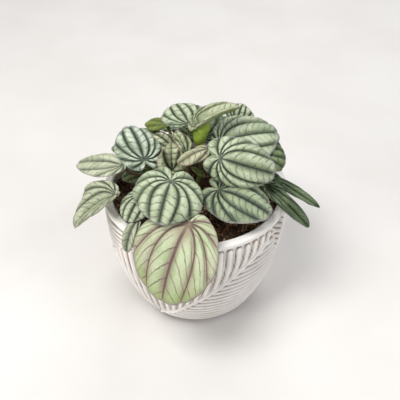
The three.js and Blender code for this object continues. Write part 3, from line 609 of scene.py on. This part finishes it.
def fibre():
    n = Nodes("fibre")
    base = n.mix(n.ramp(n.noise(0.07, 2), 0.4, 0.6), "A0603F", "D9B08C")
    base = n.mix(n.ramp(n.noise(2.0, 2), 0.45, 0.7, 0.0, 0.5), base, "4C2A1C")
    n.bump(n.noise(3.0, 2), 0.1, 0.6)
    return n.finish(base, 0.75, 0.3)


# Pot

def wall_radius(z):
    return RIM_RADIUS - (RIM_RADIUS - FOOT_RADIUS) * (1 - z / POT_HEIGHT) ** BOWL_POWER


def crest(phase):
    """0 on an even step, in a groove, and 1 on an odd one, on a broad round crest."""
    return (0.5 - 0.5 * np.cos(np.pi * phase)) ** 0.75


def finger(phase, past_head):
    """The same for the upright ribs, which are round, with a flat valley between them and a
    rounded head; and how far the surface is from the crease at a rib's foot, from 0 to 1."""
    off = np.hypot(1 - np.abs((phase + 1) % 2 - 1), UPRIGHT_HALF * past_head)
    rise = np.sqrt(np.maximum(1 - (off / UPRIGHT_HALF) ** 2, 0))
    return rise, np.clip(np.abs(off - UPRIGHT_HALF) / CREASE_HALF, 0, 1)


def midrib_at(look, distance, plain):
    """Raises a plain surface to a rounded rib within half its width of its line."""
    rise = 1 - smooth(0.15, 1.0, np.abs(distance) / (look.width / 2))
    return plain + (look.midrib - plain) * rise


def front_leaf(a, z):
    """How far a front leaf stands out at azimuth a, from -180 to 180, and height z; and how
    near to a crest the surface is there."""
    degree = np.radians(1) * wall_radius(z)
    rib_line = across(MIDRIB, a)
    slope = (across(MIDRIB, a + 1) - across(MIDRIB, a - 1)) / (2 * degree)
    first, last = MIDRIB[0][0], MIDRIB[-1][0]
    before, after = np.maximum(first - a, 0), np.maximum(a - last, 0)
    beyond = before + after

    # Upright ribs above the midrib: each leans at its foot, and ends in a head at the margin
    unswept = a.copy()
    for _ in range(6):
        foot = across(MIDRIB, unswept - UPRIGHT_SWEEP) + RIB_CLEAR
        foot = np.where(unswept - UPRIGHT_SWEEP > first - 4, foot, RELIEF_BASE + 1.5)
        head = np.maximum(across(UPPER_EDGE, unswept), foot + RIB_SHORTEST)
        t = np.clip((z - foot) / (head - foot), 0, 1)
        unswept = a + UPRIGHT_SWEEP * (1 - t) ** 3
    past_head = np.maximum(z - head + HEAD_HEIGHT, 0) / HEAD_HEIGHT
    upright, crease = finger((unswept - UPRIGHT_FROM) / UPRIGHT_STEP, past_head)
    begun = smooth(-0.6, 2.2, z - foot)
    upright *= begun
    crease = np.maximum(crease, 1 - smooth(0, 0.3, begun))

    # Level ribs below it, which fade out at the midrib, the foot and the right margin
    level = crest((z - LEVEL_FROM) / LEVEL_STEP)
    level *= smooth(1.2, 4.2, rib_line - z + after * 0.6)
    level *= smooth(-0.5, 2.0, z - RELIEF_BASE)
    level *= smooth(-0.4, 2.2, (across(flip(RIGHT_EDGE), z) - a) * degree)

    above = ((z > rib_line) | (a < first)) & (a < last + 6)
    out = FRONT.groove + (FRONT.crest - FRONT.groove) * np.where(above, upright, level)
    from_line = (z - rib_line) / np.hypot(1, slope) + beyond * degree
    on_line = np.where(beyond > 0, np.hypot(from_line, 3 * beyond), from_line)
    near = np.maximum(np.where(above, crease, level), 1 - smooth(0.3, 0.8, np.abs(on_line) / 2))
    return midrib_at(FRONT, on_line, out), near


def back_leaf(a, z):
    """The same for a back leaf, whose midrib runs up at about azimuth 85."""
    degree = np.radians(1) * wall_radius(z)
    line = across(flip(BACK_MIDRIB), z)
    left = a < line
    away = np.abs(a - line)
    start = z + np.where(left, -BACK_FALL, -BACK_RISE) * away
    ribs = crest((start - BACK_MIDRIB[0][1]) / BACK_STEP)
    ribs *= smooth(1.8, 4.0, away * degree) * smooth(0, 2.5, RELIEF_TOP - z)
    out = BACK.groove + (BACK.crest - BACK.groove) * ribs
    low, high = BACK_MIDRIB[0][1] - 2, BACK_MIDRIB[-1][1]
    distance = np.hypot(away * degree, np.maximum(low - z, 0) + np.maximum(z - high, 0) * 2)
    return midrib_at(BACK, distance, out), np.maximum(ribs, 1 - smooth(0.5, 1.0, distance / 2))


def wall_relief(azimuth, z):
    """How far the outer wall stands out of the bare bowl, and how near to a crest it is."""
    degree = np.radians(1) * wall_radius(z)
    out, shine = back_leaf((azimuth + 10) % 180 - 10, z)
    for turn in (0, 180):
        a = (azimuth - turn + 180) % 360 - 180
        right = (across(flip(RIGHT_EDGE), z) - a) * degree
        upper = (a - across(flip(UPPER_EDGE), z)) * degree * 0.7
        inside = np.minimum(right, upper)
        cover = smooth(-0.9, 0.7, inside)
        leaf, leaf_shine = front_leaf(a, z)
        hem = HEM * (1 - smooth(0.2, 1.6, np.abs(inside - 0.9)))
        out = out + cover * (leaf + hem - out)
        shine = shine + cover * (np.maximum(leaf_shine, hem) - shine)
    return out, shine


def ring(azimuth, radius, height):
    """Points at azimuths in degrees, which count from -Y towards +X."""
    turn = np.radians(azimuth)
    level = np.broadcast_to(height, turn.shape)
    return np.stack([radius * np.sin(turn), -radius * np.cos(turn), level], -1)


def wall_point(azimuth, z, out):
    slope = wall_radius(z + 0.5) - wall_radius(z - 0.5)
    return ring(azimuth, wall_radius(z) + out * np.hypot(1, slope), z)


def arc(centre, radius, from_angle, to_angle, steps):
    """Points of a profile's rounded corner, as (radius, height) pairs."""
    turns = np.radians(np.linspace(from_angle, to_angle, steps))
    return [(centre[0] + radius * math.cos(t), centre[1] + radius * math.sin(t)) for t in turns]


def pot_profile():
    """The pot's section from the collar's edge over the rim, down inside and out below."""
    rim = RIM_RADIUS + COLLAR_OUT
    inner = wall_radius(POT_HEIGHT) - WALL
    hollow = FOOT_RADIUS - FOOT_RING
    profile = arc((rim - COLLAR_EDGE, POT_HEIGHT - COLLAR + COLLAR_EDGE), COLLAR_EDGE, -40, 0, 3)
    profile += arc((rim - LIP, POT_HEIGHT - LIP), LIP, 8, 90, 6)
    profile += arc((inner + LIP, POT_HEIGHT - LIP), LIP, 90, 176, 6)
    profile += [(wall_radius(share * POT_HEIGHT) - WALL, share * POT_HEIGHT) for share in INNER_RINGS]
    profile += [(wall_radius(FLOOR) - WALL - 4, FLOOR), (0.5, FLOOR), (0.5, FOOT_RECESS)]
    profile += [(hollow - 1.5, FOOT_RECESS), (hollow, 0.4), (hollow + 0.5, 0)]
    profile += [(FOOT_RADIUS - 0.6, 0), (FOOT_RADIUS, 0.5), (wall_radius(1.8), 1.8)]
    return profile


def make_pot():
    azimuth = np.arange(POT_AROUND) * 360 / POT_AROUND
    top = POT_HEIGHT - COLLAR
    a, z = np.meshgrid(azimuth, np.linspace(RELIEF_BASE, top, POT_UP))
    out, shine = wall_relief(a, z)
    fade = smooth(RELIEF_BASE, RELIEF_BASE + RELIEF_FADE, z)
    to_collar = smooth(top - COLLAR_BLEND, top, z)
    out *= fade
    out += to_collar * (COLLAR_OUT - 0.3 - out)
    shine = np.maximum(shine * fade, to_collar)

    profile = pot_profile()
    rings = [ring(azimuth, radius, height) for radius, height in profile]
    points = np.concatenate([wall_point(a, z, out).reshape(-1, 3), *rings])
    rows = POT_UP + len(profile)
    quads = grid_faces(rows, POT_AROUND)
    closing = grid_faces(2, POT_AROUND)
    last_row = (rows - 1) * POT_AROUND
    closing = np.where(closing < POT_AROUND, closing + last_row, closing - POT_AROUND)
    foot = rows - 5
    row = quads[:, 0] // POT_AROUND
    bare = (row >= foot) & (row < foot + 2)
    pot = mesh_piece("glazed_pot", points, [(quads[~bare], 0), (quads[bare], 1), (closing, 0)],
                     [glaze(), bare_clay()], "pot")
    # The relief attribute: how near to a crest each point is, which sets where the glaze paints
    # shade; points off the relief wall get 1.
    add_attribute(pot, "relief", np.concatenate([shine.ravel(), np.ones(len(points) - shine.size)]))


# Soil

SOIL_REACH = wall_radius(SOIL_LEVEL) - WALL - SOIL_GAP


def soil_height(x, y):
    return SOIL_LEVEL + SOIL_MOUND * (1 - (np.hypot(x, y) / SOIL_REACH) ** 2)


def lumps(x, y, seed, size):
    """A smooth random surface from a few dozen waves, within about -1 to 1."""
    draw = np.random.default_rng(seed)
    total = np.zeros_like(x)
    for _ in range(40):
        turn, phase = draw.uniform(0, 2 * np.pi, 2)
        pitch = size * draw.uniform(0.6, 1.8)
        total += np.sin((x * np.cos(turn) + y * np.sin(turn)) * 2 * np.pi / pitch + phase)
    return total / 9


def soil_surface(x, y):
    z = soil_height(x, y)
    for seed, size, height in SOIL_LUMPS:
        z = z + height * lumps(x, y, seed, size)
    return z


def ground(x, y):
    return float(soil_surface(np.array([x]), np.array([y]))[0])


def even_turns(count):
    """Angles that divide a full turn evenly."""
    return np.arange(count) * 2 * np.pi / count


def circle(centre, side, other, radius, sides):
    """Points round a centre in the plane of two directions."""
    turn = even_turns(sides)
    return centre + radius * (np.cos(turn)[:, None] * side + np.sin(turn)[:, None] * other)


def unit(v):
    return v / np.linalg.norm(v)


def sweep(path, headings, reaches, side, turn, sides):
    """Rings round the points of a path, each twisted as little as can be from the last."""
    rings = []
    for centre, axis, reach in zip(path, headings, reaches):
        axis = unit(axis)
        side = unit(side - axis * side.dot(axis))
        rings.append(circle(centre, side, turn * np.cross(axis, side), reach, sides))
    return np.array(rings)


def tube(path, radii, sides):
    """Points and faces of a round closed tube along a path."""
    path = np.asarray(path, float)
    side = np.cross(unit(path[1] - path[0]), [0.3, 0.2, 0.93])
    rings = sweep(path, np.gradient(path, axis=0), radii, side, 1, sides)
    faces = grid_faces(len(path), sides).tolist()
    last = (len(path) - 1) * sides
    faces.append(list(range(sides))[::-1])
    faces.append([last + i for i in range(sides)])
    return rings.reshape(-1, 3), faces


def loose_piece(name, parts, material):
    """One piece from (points, faces) pairs that lie on the soil."""
    points = []
    faces = []
    count = 0
    for part_points, part_faces in parts:
        points.append(part_points)
        faces.extend([[count + i for i in face] for face in part_faces])
        count += len(part_points)
    mesh_piece(name, np.concatenate(points), [(faces, 0)], [material], None)


def make_soil():
    turn = even_turns(SOIL_AROUND)
    r, t = np.meshgrid(np.linspace(0.4, SOIL_REACH, SOIL_RINGS), turn, indexing="ij")
    x, y = r * np.cos(t), r * np.sin(t)
    z = soil_surface(x, y) + SOIL_BANK * (1 - smooth(0, SOIL_BANK_WIDE, SOIL_REACH - r))
    rings = [np.stack([x, y, z], -1).reshape(-1, 3)]
    for share in SOIL_DEPTHS:
        level = share * POT_HEIGHT
        radius = wall_radius(level) - WALL - SOIL_GAP - (SOIL_HEEL if share < 0.1 else 0)
        flat = np.full_like(turn, level)
        rings.append(np.stack([radius * np.cos(turn), radius * np.sin(turn), flat], 1))
    rows = SOIL_RINGS + len(SOIL_DEPTHS)
    faces = grid_faces(rows, SOIL_AROUND)[:, ::-1]
    last = (rows - 1) * SOIL_AROUND
    caps = [list(range(SOIL_AROUND)), [last + i for i in range(SOIL_AROUND)][::-1]]
    mesh_piece("peat", np.concatenate(rings), [(faces, 0), (caps, 0)], [earth()], "soil")


def rock(draw, centre, size):
    """A small angular crumb: a flattened cube whose corners are pulled about."""
    spin = draw.uniform(0, math.tau)
    cos, sin = math.cos(spin), math.sin(spin)
    points = []
    for z in (-1, 1):
        for y in (-1, 1):
            for x in (-1, 1):
                px, py, pz = (side * draw.uniform(0.45, 1.0) for side in (x, y, z))
                points.append((px * cos - py * sin, px * sin + py * cos, pz * 0.7))
    faces = [[0, 2, 3, 1], [4, 5, 7, 6], [0, 1, 5, 4], [2, 6, 7, 3], [0, 4, 6, 2], [1, 3, 7, 5]]
    return np.array(points) * size + centre, faces


def scatter(draw, reach):
    turn = draw.uniform(0, math.tau)
    distance = reach * math.sqrt(draw.random())
    return distance * math.cos(turn), distance * math.sin(turn)


def make_crumbs():
    draw = random.Random(21)
    parts = []
    for _ in range(CRUMBS):
        x, y = scatter(draw, SOIL_REACH - 1.5)
        size = 0.35 + 1.1 * draw.random() ** 3
        parts.append(rock(draw, np.array([x, y, ground(x, y) + 0.25 * size]), size))
    loose_piece("peat_crumbs", parts, earth())


def make_fibres():
    """Short reddish fibres that lie on the peat, some with one end lifted out of it."""
    draw = random.Random(8)
    parts = []
    for _ in range(FIBRES):
        x, y = scatter(draw, SOIL_REACH - 5)
        heading = draw.uniform(0, math.tau)
        curl = draw.uniform(-0.35, 0.35)
        step = draw.uniform(4, 15) / FIBRE_STEPS
        lift = draw.uniform(0, 2.2) if draw.random() < 0.35 else 0.3
        thick = draw.uniform(0.16, 0.42)
        path = []
        radii = []
        for i in range(FIBRE_STEPS + 1):
            x += step * math.cos(heading)
            y += step * math.sin(heading)
            heading += curl
            inside = min(1, (SOIL_REACH - 2) / math.hypot(x, y))
            x, y = x * inside, y * inside
            t = i / FIBRE_STEPS
            path.append((x, y, ground(x, y) + thick * 0.4 + lift * t * t))
            radii.append(thick * (1 - 0.6 * t * t))
        parts.append(tube(path, radii, 5))
    loose_piece("peat_fibres", parts, fibre())


# Leaves

def leaf_frame(leaf):
    """The leaf's directions at the joint: along it, to its left and up out of its face."""
    joint = np.array(leaf.joint, float)
    reach = np.array(leaf.tip, float) - joint
    ahead = unit(reach)
    flat_left = unit(np.array([-ahead[1], ahead[0], 0]))
    flat_up = np.cross(ahead, flat_left)
    roll = math.radians(leaf.roll)
    left = flat_left * math.cos(roll) + flat_up * math.sin(roll)
    half = math.radians(leaf.along) / 2
    start = ahead * math.cos(half) + np.cross(ahead, left) * math.sin(half)
    length = np.linalg.norm(reach) * (half / math.sin(half) if abs(half) > 1e-6 else 1)
    up = np.cross(start, left)
    return SimpleNamespace(joint=joint, start=start, left=left, up=up, length=length)


def margin(leaf, length, angle):
    """Distance from the joint to the margin at an angle from the tip, in radians."""
    half = (length + leaf.lobes) / 2
    centre = half - leaf.lobes
    side = leaf.width / 2
    a = np.cos(angle) ** 2 / half ** 2 + np.sin(angle) ** 2 / side ** 2
    b = -2 * centre * np.cos(angle) / half ** 2
    c = centre ** 2 / half ** 2 - 1
    oval = (-b + np.sqrt(b * b - 4 * a * c)) / (2 * a)
    turn = np.abs(angle)
    notch = 1 - leaf.notch * np.exp(-((np.pi - turn) / NOTCH_HALF) ** 2)
    shoulder = 1 - leaf.taper * np.exp(-((turn - SHOULDER_AT) / SHOULDER_HALF) ** 2)
    return oval * notch * shoulder


def bent(leaf, axes, x, y, lift):
    """Where points of the flat leaf, lifted off its face, lie once it is folded and bent."""
    kx = math.radians(leaf.along) / axes.length
    ky = math.radians(leaf.across) / (leaf.width / 2)
    side = np.clip(y / 0.8, -1, 1)
    crease = side * math.radians(leaf.fold)
    pitch = kx * x
    tilt = crease + ky * y
    ahead = x if abs(kx) < 1e-6 else np.sin(pitch) / kx
    drop = 0 * x if abs(kx) < 1e-6 else (1 - np.cos(pitch)) / kx
    flat = abs(ky) < 1e-6
    sideways = y * np.cos(crease) if flat else (np.sin(tilt) - np.sin(crease)) / ky
    fall = y * np.sin(crease) if flat else (np.cos(crease) - np.cos(tilt)) / ky
    out = lift * np.cos(tilt) - fall
    parts = (
        (axes.start, ahead + out * np.sin(pitch)),
        (axes.left, sideways + lift * np.sin(tilt)),
        (axes.up, out * np.cos(pitch) - drop),
    )
    return axes.joint + sum(amount[..., None] * direction for direction, amount in parts)


def roundness(place):
    """The section of a bulge, from 0 at its one vein over 1 in the middle to 0 at the other."""
    return np.maximum(1 - np.abs(2 * place - 1) ** 2.3, 0) ** 0.6


def spokes_of(leaf, steps):
    """The blade's spokes from the tip round to the left: their angles at the joint and at the
    margin, their place across the bulge from 0 to 1, and the interval that starts at each."""
    veins = VEINS_NARROW if leaf.narrow else VEINS_WIDE
    half = [*veins, (180, 180)]
    marks = half + [(360 - a, 360 - b) for a, b in reversed(half[1:-1])] + [(360, 360)]
    rows = []
    for k, ((a0, b0), (a1, b1)) in enumerate(zip(marks, marks[1:])):
        for i in range(steps):
            t = i / steps
            rows.append((a0 + t * (a1 - a0), b0 + t * (b1 - b0), t, k))
    first, last, place, interval = np.array(rows).T
    return np.radians(first), np.radians(last), place, interval.astype(int), len(marks) - 1


def shape_blade(leaf, axes, look, number):
    """The blade's points in rings from its neck to its margin, and what its colours go by."""
    steps, rings = LARGE_MESH if leaf.width > LARGE_FROM else SMALL_MESH
    first, last, place, interval, intervals = spokes_of(leaf, steps)
    share = np.linspace(0, 1, rings)[:, None] ** 0.9
    angle = last + (first - last) * (1 - share) ** VEIN_BEND
    full = margin(leaf, axes.length, np.where(angle > np.pi, angle - 2 * np.pi, angle))
    bulge = roundness(place)
    wave = 1 + MARGIN_WAVE * (bulge - 0.6) * smooth(0.7, 1.0, share)
    neck = np.minimum(PETIOLE_TOP + leaf.flare + FILLET, NECK_MOST * full)
    reach = neck + (full * wave - neck) * share
    x, y = reach * np.cos(angle), reach * np.sin(angle)

    # Width of each bulge on each ring, and the side veins on it
    corner = np.arange(intervals + 1) * steps % len(first)
    wide = np.hypot(np.diff(x[:, corner]), np.diff(y[:, corner]))[:, interval]
    draw = np.random.default_rng(100 + number)
    unequal = draw.uniform(0.85, 1.1, intervals)[interval]
    offset = draw.uniform(0, 1, intervals)[interval]
    half_way = intervals // 2

    def ribs(place, reach):
        """Distance to the nearest vein, branch coordinate, which is a whole number on a side
        vein, and height of the bulge. The line where the notch closes is no vein."""
        left = np.where(interval == half_way, NO_VEIN, place * wide)
        right = np.where(interval == half_way - 1, NO_VEIN, (1 - place) * wide)
        outward = np.where(interval < half_way, place, 1 - place) * wide
        forward = outward * (look.slope + BRANCH_BEND * outward)
        branch = (reach - forward) / look.pitch + offset
        crown = np.broadcast_to(np.sin(np.pi * place), branch.shape)
        return np.stack([np.minimum(left, right), branch, crown], -1)

    here = ribs(place, reach)
    there = ribs(place + 1 / steps, np.roll(reach, -1, axis=1))

    # How far the face is lifted off the flat leaf
    rise = look.quilt * QUILT * np.tanh(QUILT_STEEPNESS * wide / QUILT)
    swell = smooth(0, 0.25, share) * (1 - 0.7 * smooth(0.78, 1.0, share))
    puff = np.abs(np.sin(np.pi * here[..., 1])) ** 0.5
    lift = NAVEL * (1 - np.exp(-((reach / NAVEL_REACH) ** 2)))
    lift += rise * swell * (unequal * bulge - QUILT_SINK)
    lift -= BRANCH_SINK * rise * (1 - puff) * bulge ** 2 * smooth(0.15, 0.4, share)
    lift -= MARGIN_CURL * np.clip((share - 0.9) / 0.1, 0, 1) ** 2
    thick = BLADE * np.sqrt(1 - 0.97 * np.clip((share - 0.55) / 0.45, 0, 1) ** 3)
    return SimpleNamespace(
        first=first, rings=rings, here=here, there=there,
        top=bent(leaf, axes, x, y, lift).reshape(-1, 3),
        under=bent(leaf, axes, x[:-1], y[:-1], (lift - thick)[:-1]).reshape(-1, 3),
        spot=np.stack([x, y, np.broadcast_to(share, x.shape)], -1).reshape(-1, 3))


def shape_petiole(leaf, axes, number):
    """Rings of points from just under the blade round to the soil and down into it, and how
    far down each point is, from 0 to 1."""
    zero = np.zeros(1)
    joint = bent(leaf, axes, zero, zero, zero - BLADE)[0]
    foot = np.array([*leaf.root, soil_height(*leaf.root)])
    lean = math.radians(leaf.lean)
    away = -axes.up * math.cos(lean) - axes.start * math.sin(lean)
    span = np.linalg.norm(joint - foot)
    knots = [joint, joint + away * leaf.arch * span, foot + [0, 0, 0.5 * span], foot]
    t = np.linspace(0, 1, PETIOLE_STEPS + 1) ** 1.25
    weights = np.stack([(1 - t) ** 3, 3 * t * (1 - t) ** 2, 3 * t ** 2 * (1 - t), t ** 3], 1)
    path = np.concatenate([weights @ np.array(knots), [foot - [0, 0, BURIED]]])
    radii = PETIOLE_TOP + (PETIOLE_FOOT - PETIOLE_TOP) * t
    radii += leaf.flare * np.maximum(0, 1 - 2.5 * t)
    radii += 0.9 * FILLET * np.exp(-((t * span / 2.2) ** 2))
    radii *= 1 + 0.05 * np.sin(t * span / 3 + number) * smooth(0.1, 0.3, t)
    radii = np.append(radii, PETIOLE_FOOT)

    turn = even_turns(PETIOLE_SIDES)
    room = PETIOLE_MOST * margin(leaf, axes.length, np.minimum(turn, 2 * np.pi - turn))
    heading = np.gradient(path, axis=0)
    heading[0] = -axes.up
    out = np.minimum(radii[:, None], room)[..., None]
    rings = sweep(path, heading, out, axes.start, -1, PETIOLE_SIDES)
    rings[0] -= axes.up * PETIOLE_DROP
    return rings.reshape(-1, 3), np.repeat(np.append(t, 1.0), PETIOLE_SIDES)


def leaf_faces(blade, petiole_rings):
    """Faces of the joint, the upper face, the lower face and the petiole, whose points lie in
    this order. The lower face has no ring at the margin, where it meets the upper one."""
    count = len(blade.first)
    spoke = np.arange(count)
    after = (spoke + 1) % count
    below = 1 + blade.rings * count
    tail = below + (blade.rings - 1) * count
    upper = grid_faces(blade.rings, count, 1)[:, [0, 3, 2, 1]]
    fan = np.stack([np.zeros_like(spoke), 1 + spoke, 1 + after], 1)
    lower = grid_faces(blade.rings - 1, count, below)
    edge, edge_low = below - count, tail - count
    rim = np.stack([edge + spoke, edge_low + spoke, edge_low + after, edge + after], 1)
    near = np.round(blade.first / (2 * np.pi / PETIOLE_SIDES)).astype(int)
    near = tail + near % PETIOLE_SIDES
    collar = []
    for i, j in zip(spoke, after):
        collar.append([below + i, near[i], below + j])
        if near[i] != near[j]:
            collar.append([below + j, near[i], near[j]])
    stalk = grid_faces(petiole_rings, PETIOLE_SIDES, tail)[:, [0, 3, 2, 1]]
    end = tail + (petiole_rings - 1) * PETIOLE_SIDES
    cap = [[end + i for i in range(PETIOLE_SIDES)][::-1]]
    return upper, fan, lower, rim, collar, stalk, cap


def rib_corners(blade, petiole_faces):
    """The ribs' values at the corners of the faces: this spoke and the next, on two rings."""
    here, there = blade.here, blade.there
    square = np.stack([here[:-1], there[:-1], there[1:], here[1:]], 2).reshape(-1, 4, 3)
    hub = here[0] * [0, 1, 0]
    last = blade.rings - 2
    outer = [here[last], here[last], there[last], there[last]]
    corners = [
        square[:, [0, 3, 2, 1]],
        np.stack([hub, here[0], there[0]], 1),
        square[:last * len(blade.first)],
        np.stack(outer, 1),
        np.zeros((sum(len(face) for faces in petiole_faces for face in faces), 3)),
    ]
    return np.concatenate([values.reshape(-1, 3) for values in corners])


def make_leaf(name, leaf, number):
    style = leaf.style
    axes = leaf_frame(leaf)
    blade = shape_blade(leaf, axes, STYLES[style], number)
    petiole, down = shape_petiole(leaf, axes, number)
    zero = np.zeros(1)
    points = np.concatenate([bent(leaf, axes, zero, zero, zero), blade.top, blade.under, petiole])
    upper, fan, lower, rim, *rest = leaf_faces(blade, len(petiole) // PETIOLE_SIDES)
    piece = mesh_piece(
        f"peperomia_{name}", points,
        [(upper, 0), (fan, 0), (lower, 1), (rim, 1), *((faces, 2) for faces in rest)],
        [material(maker, style) for maker in (leaf_top, leaf_under, leaf_stalk)],
        f"leaf_{name}")
    add_attribute(piece, "rib", rib_corners(blade, rest), "CORNER")
    no_spot = np.zeros_like(petiole)
    spot = [no_spot[:1], blade.spot, blade.spot[:len(blade.under)], no_spot]
    add_attribute(piece, "spot", np.concatenate(spot))
    add_attribute(piece, "down", np.append(np.zeros(len(points) - len(petiole)), down))


# Studio

def make_floor():
    """A pale floor that curves up into a backdrop far behind."""
    rows = [(-FLOOR_SIZE, 0), (FLOOR_BACK, 0)]
    for t in np.linspace(0.1, math.pi / 2, 14):
        rows.append((FLOOR_BACK + FLOOR_CURVE * math.sin(t), FLOOR_CURVE * (1 - math.cos(t))))
    rows.append((FLOOR_BACK + FLOOR_CURVE, FLOOR_SIZE))
    points = [(side * FLOOR_SIZE, y, z) for y, z in rows for side in (-1, 1)]
    faces = [(2 * i, 2 * i + 1, 2 * i + 3, 2 * i + 2) for i in range(len(rows) - 1)]
    mesh = bpy.data.meshes.new("floor")
    mesh.from_pydata(points, [], faces)
    mesh.polygons.foreach_set("use_smooth", [True] * len(faces))
    n = Nodes("floor")
    tone = n.mix(n.ramp(n.noise(0.01, 2), 0.3, 0.7), "E2E0DD", "DEDBD8")
    mesh.materials.append(n.finish(tone, 0.9, 0.2))
    add_object("floor", mesh)


def aim(thing, at):
    thing.rotation_euler = (Vector(at) - thing.location).to_track_quat("-Z", "Y").to_euler()


def add_light(name, place, size, power, tint):
    light = bpy.data.lights.new(name, "AREA")
    light.shape = "RECTANGLE"
    light.size, light.size_y = size
    light.energy = power
    light.color = tint
    lamp = add_object(name, light)
    lamp.location = place
    aim(lamp, (0, 0, 0.1))


def make_studio():
    make_floor()
    for name, settings in LIGHTS.items():
        add_light(name, *settings)
    world = bpy.data.worlds.new("studio")
    bpy.context.scene.world = world
    world.use_nodes = True
    sky = world.node_tree.nodes["Background"]
    sky.inputs["Color"].default_value = SKY
    sky.inputs["Strength"].default_value = SKY_STRENGTH
    camera_data = bpy.data.cameras.new("camera")
    camera_data.lens = CAMERA_LENS
    camera_data.sensor_width = 36
    camera = add_object("camera", camera_data)
    rise = math.radians(CAMERA_ELEVATION)
    target = Vector(CAMERA_TARGET) * MM
    camera.location = target + Vector((0, -math.cos(rise), math.sin(rise))) * CAMERA_DISTANCE * MM
    aim(camera, target)
    bpy.context.scene.camera = camera
    bpy.context.scene.view_settings.view_transform = "Standard"


make_studio()
make_pot()
make_soil()
make_crumbs()
make_fibres()
for number, (name, leaf_row) in enumerate(LEAVES.items()):
    make_leaf(name, leaf_row, number)
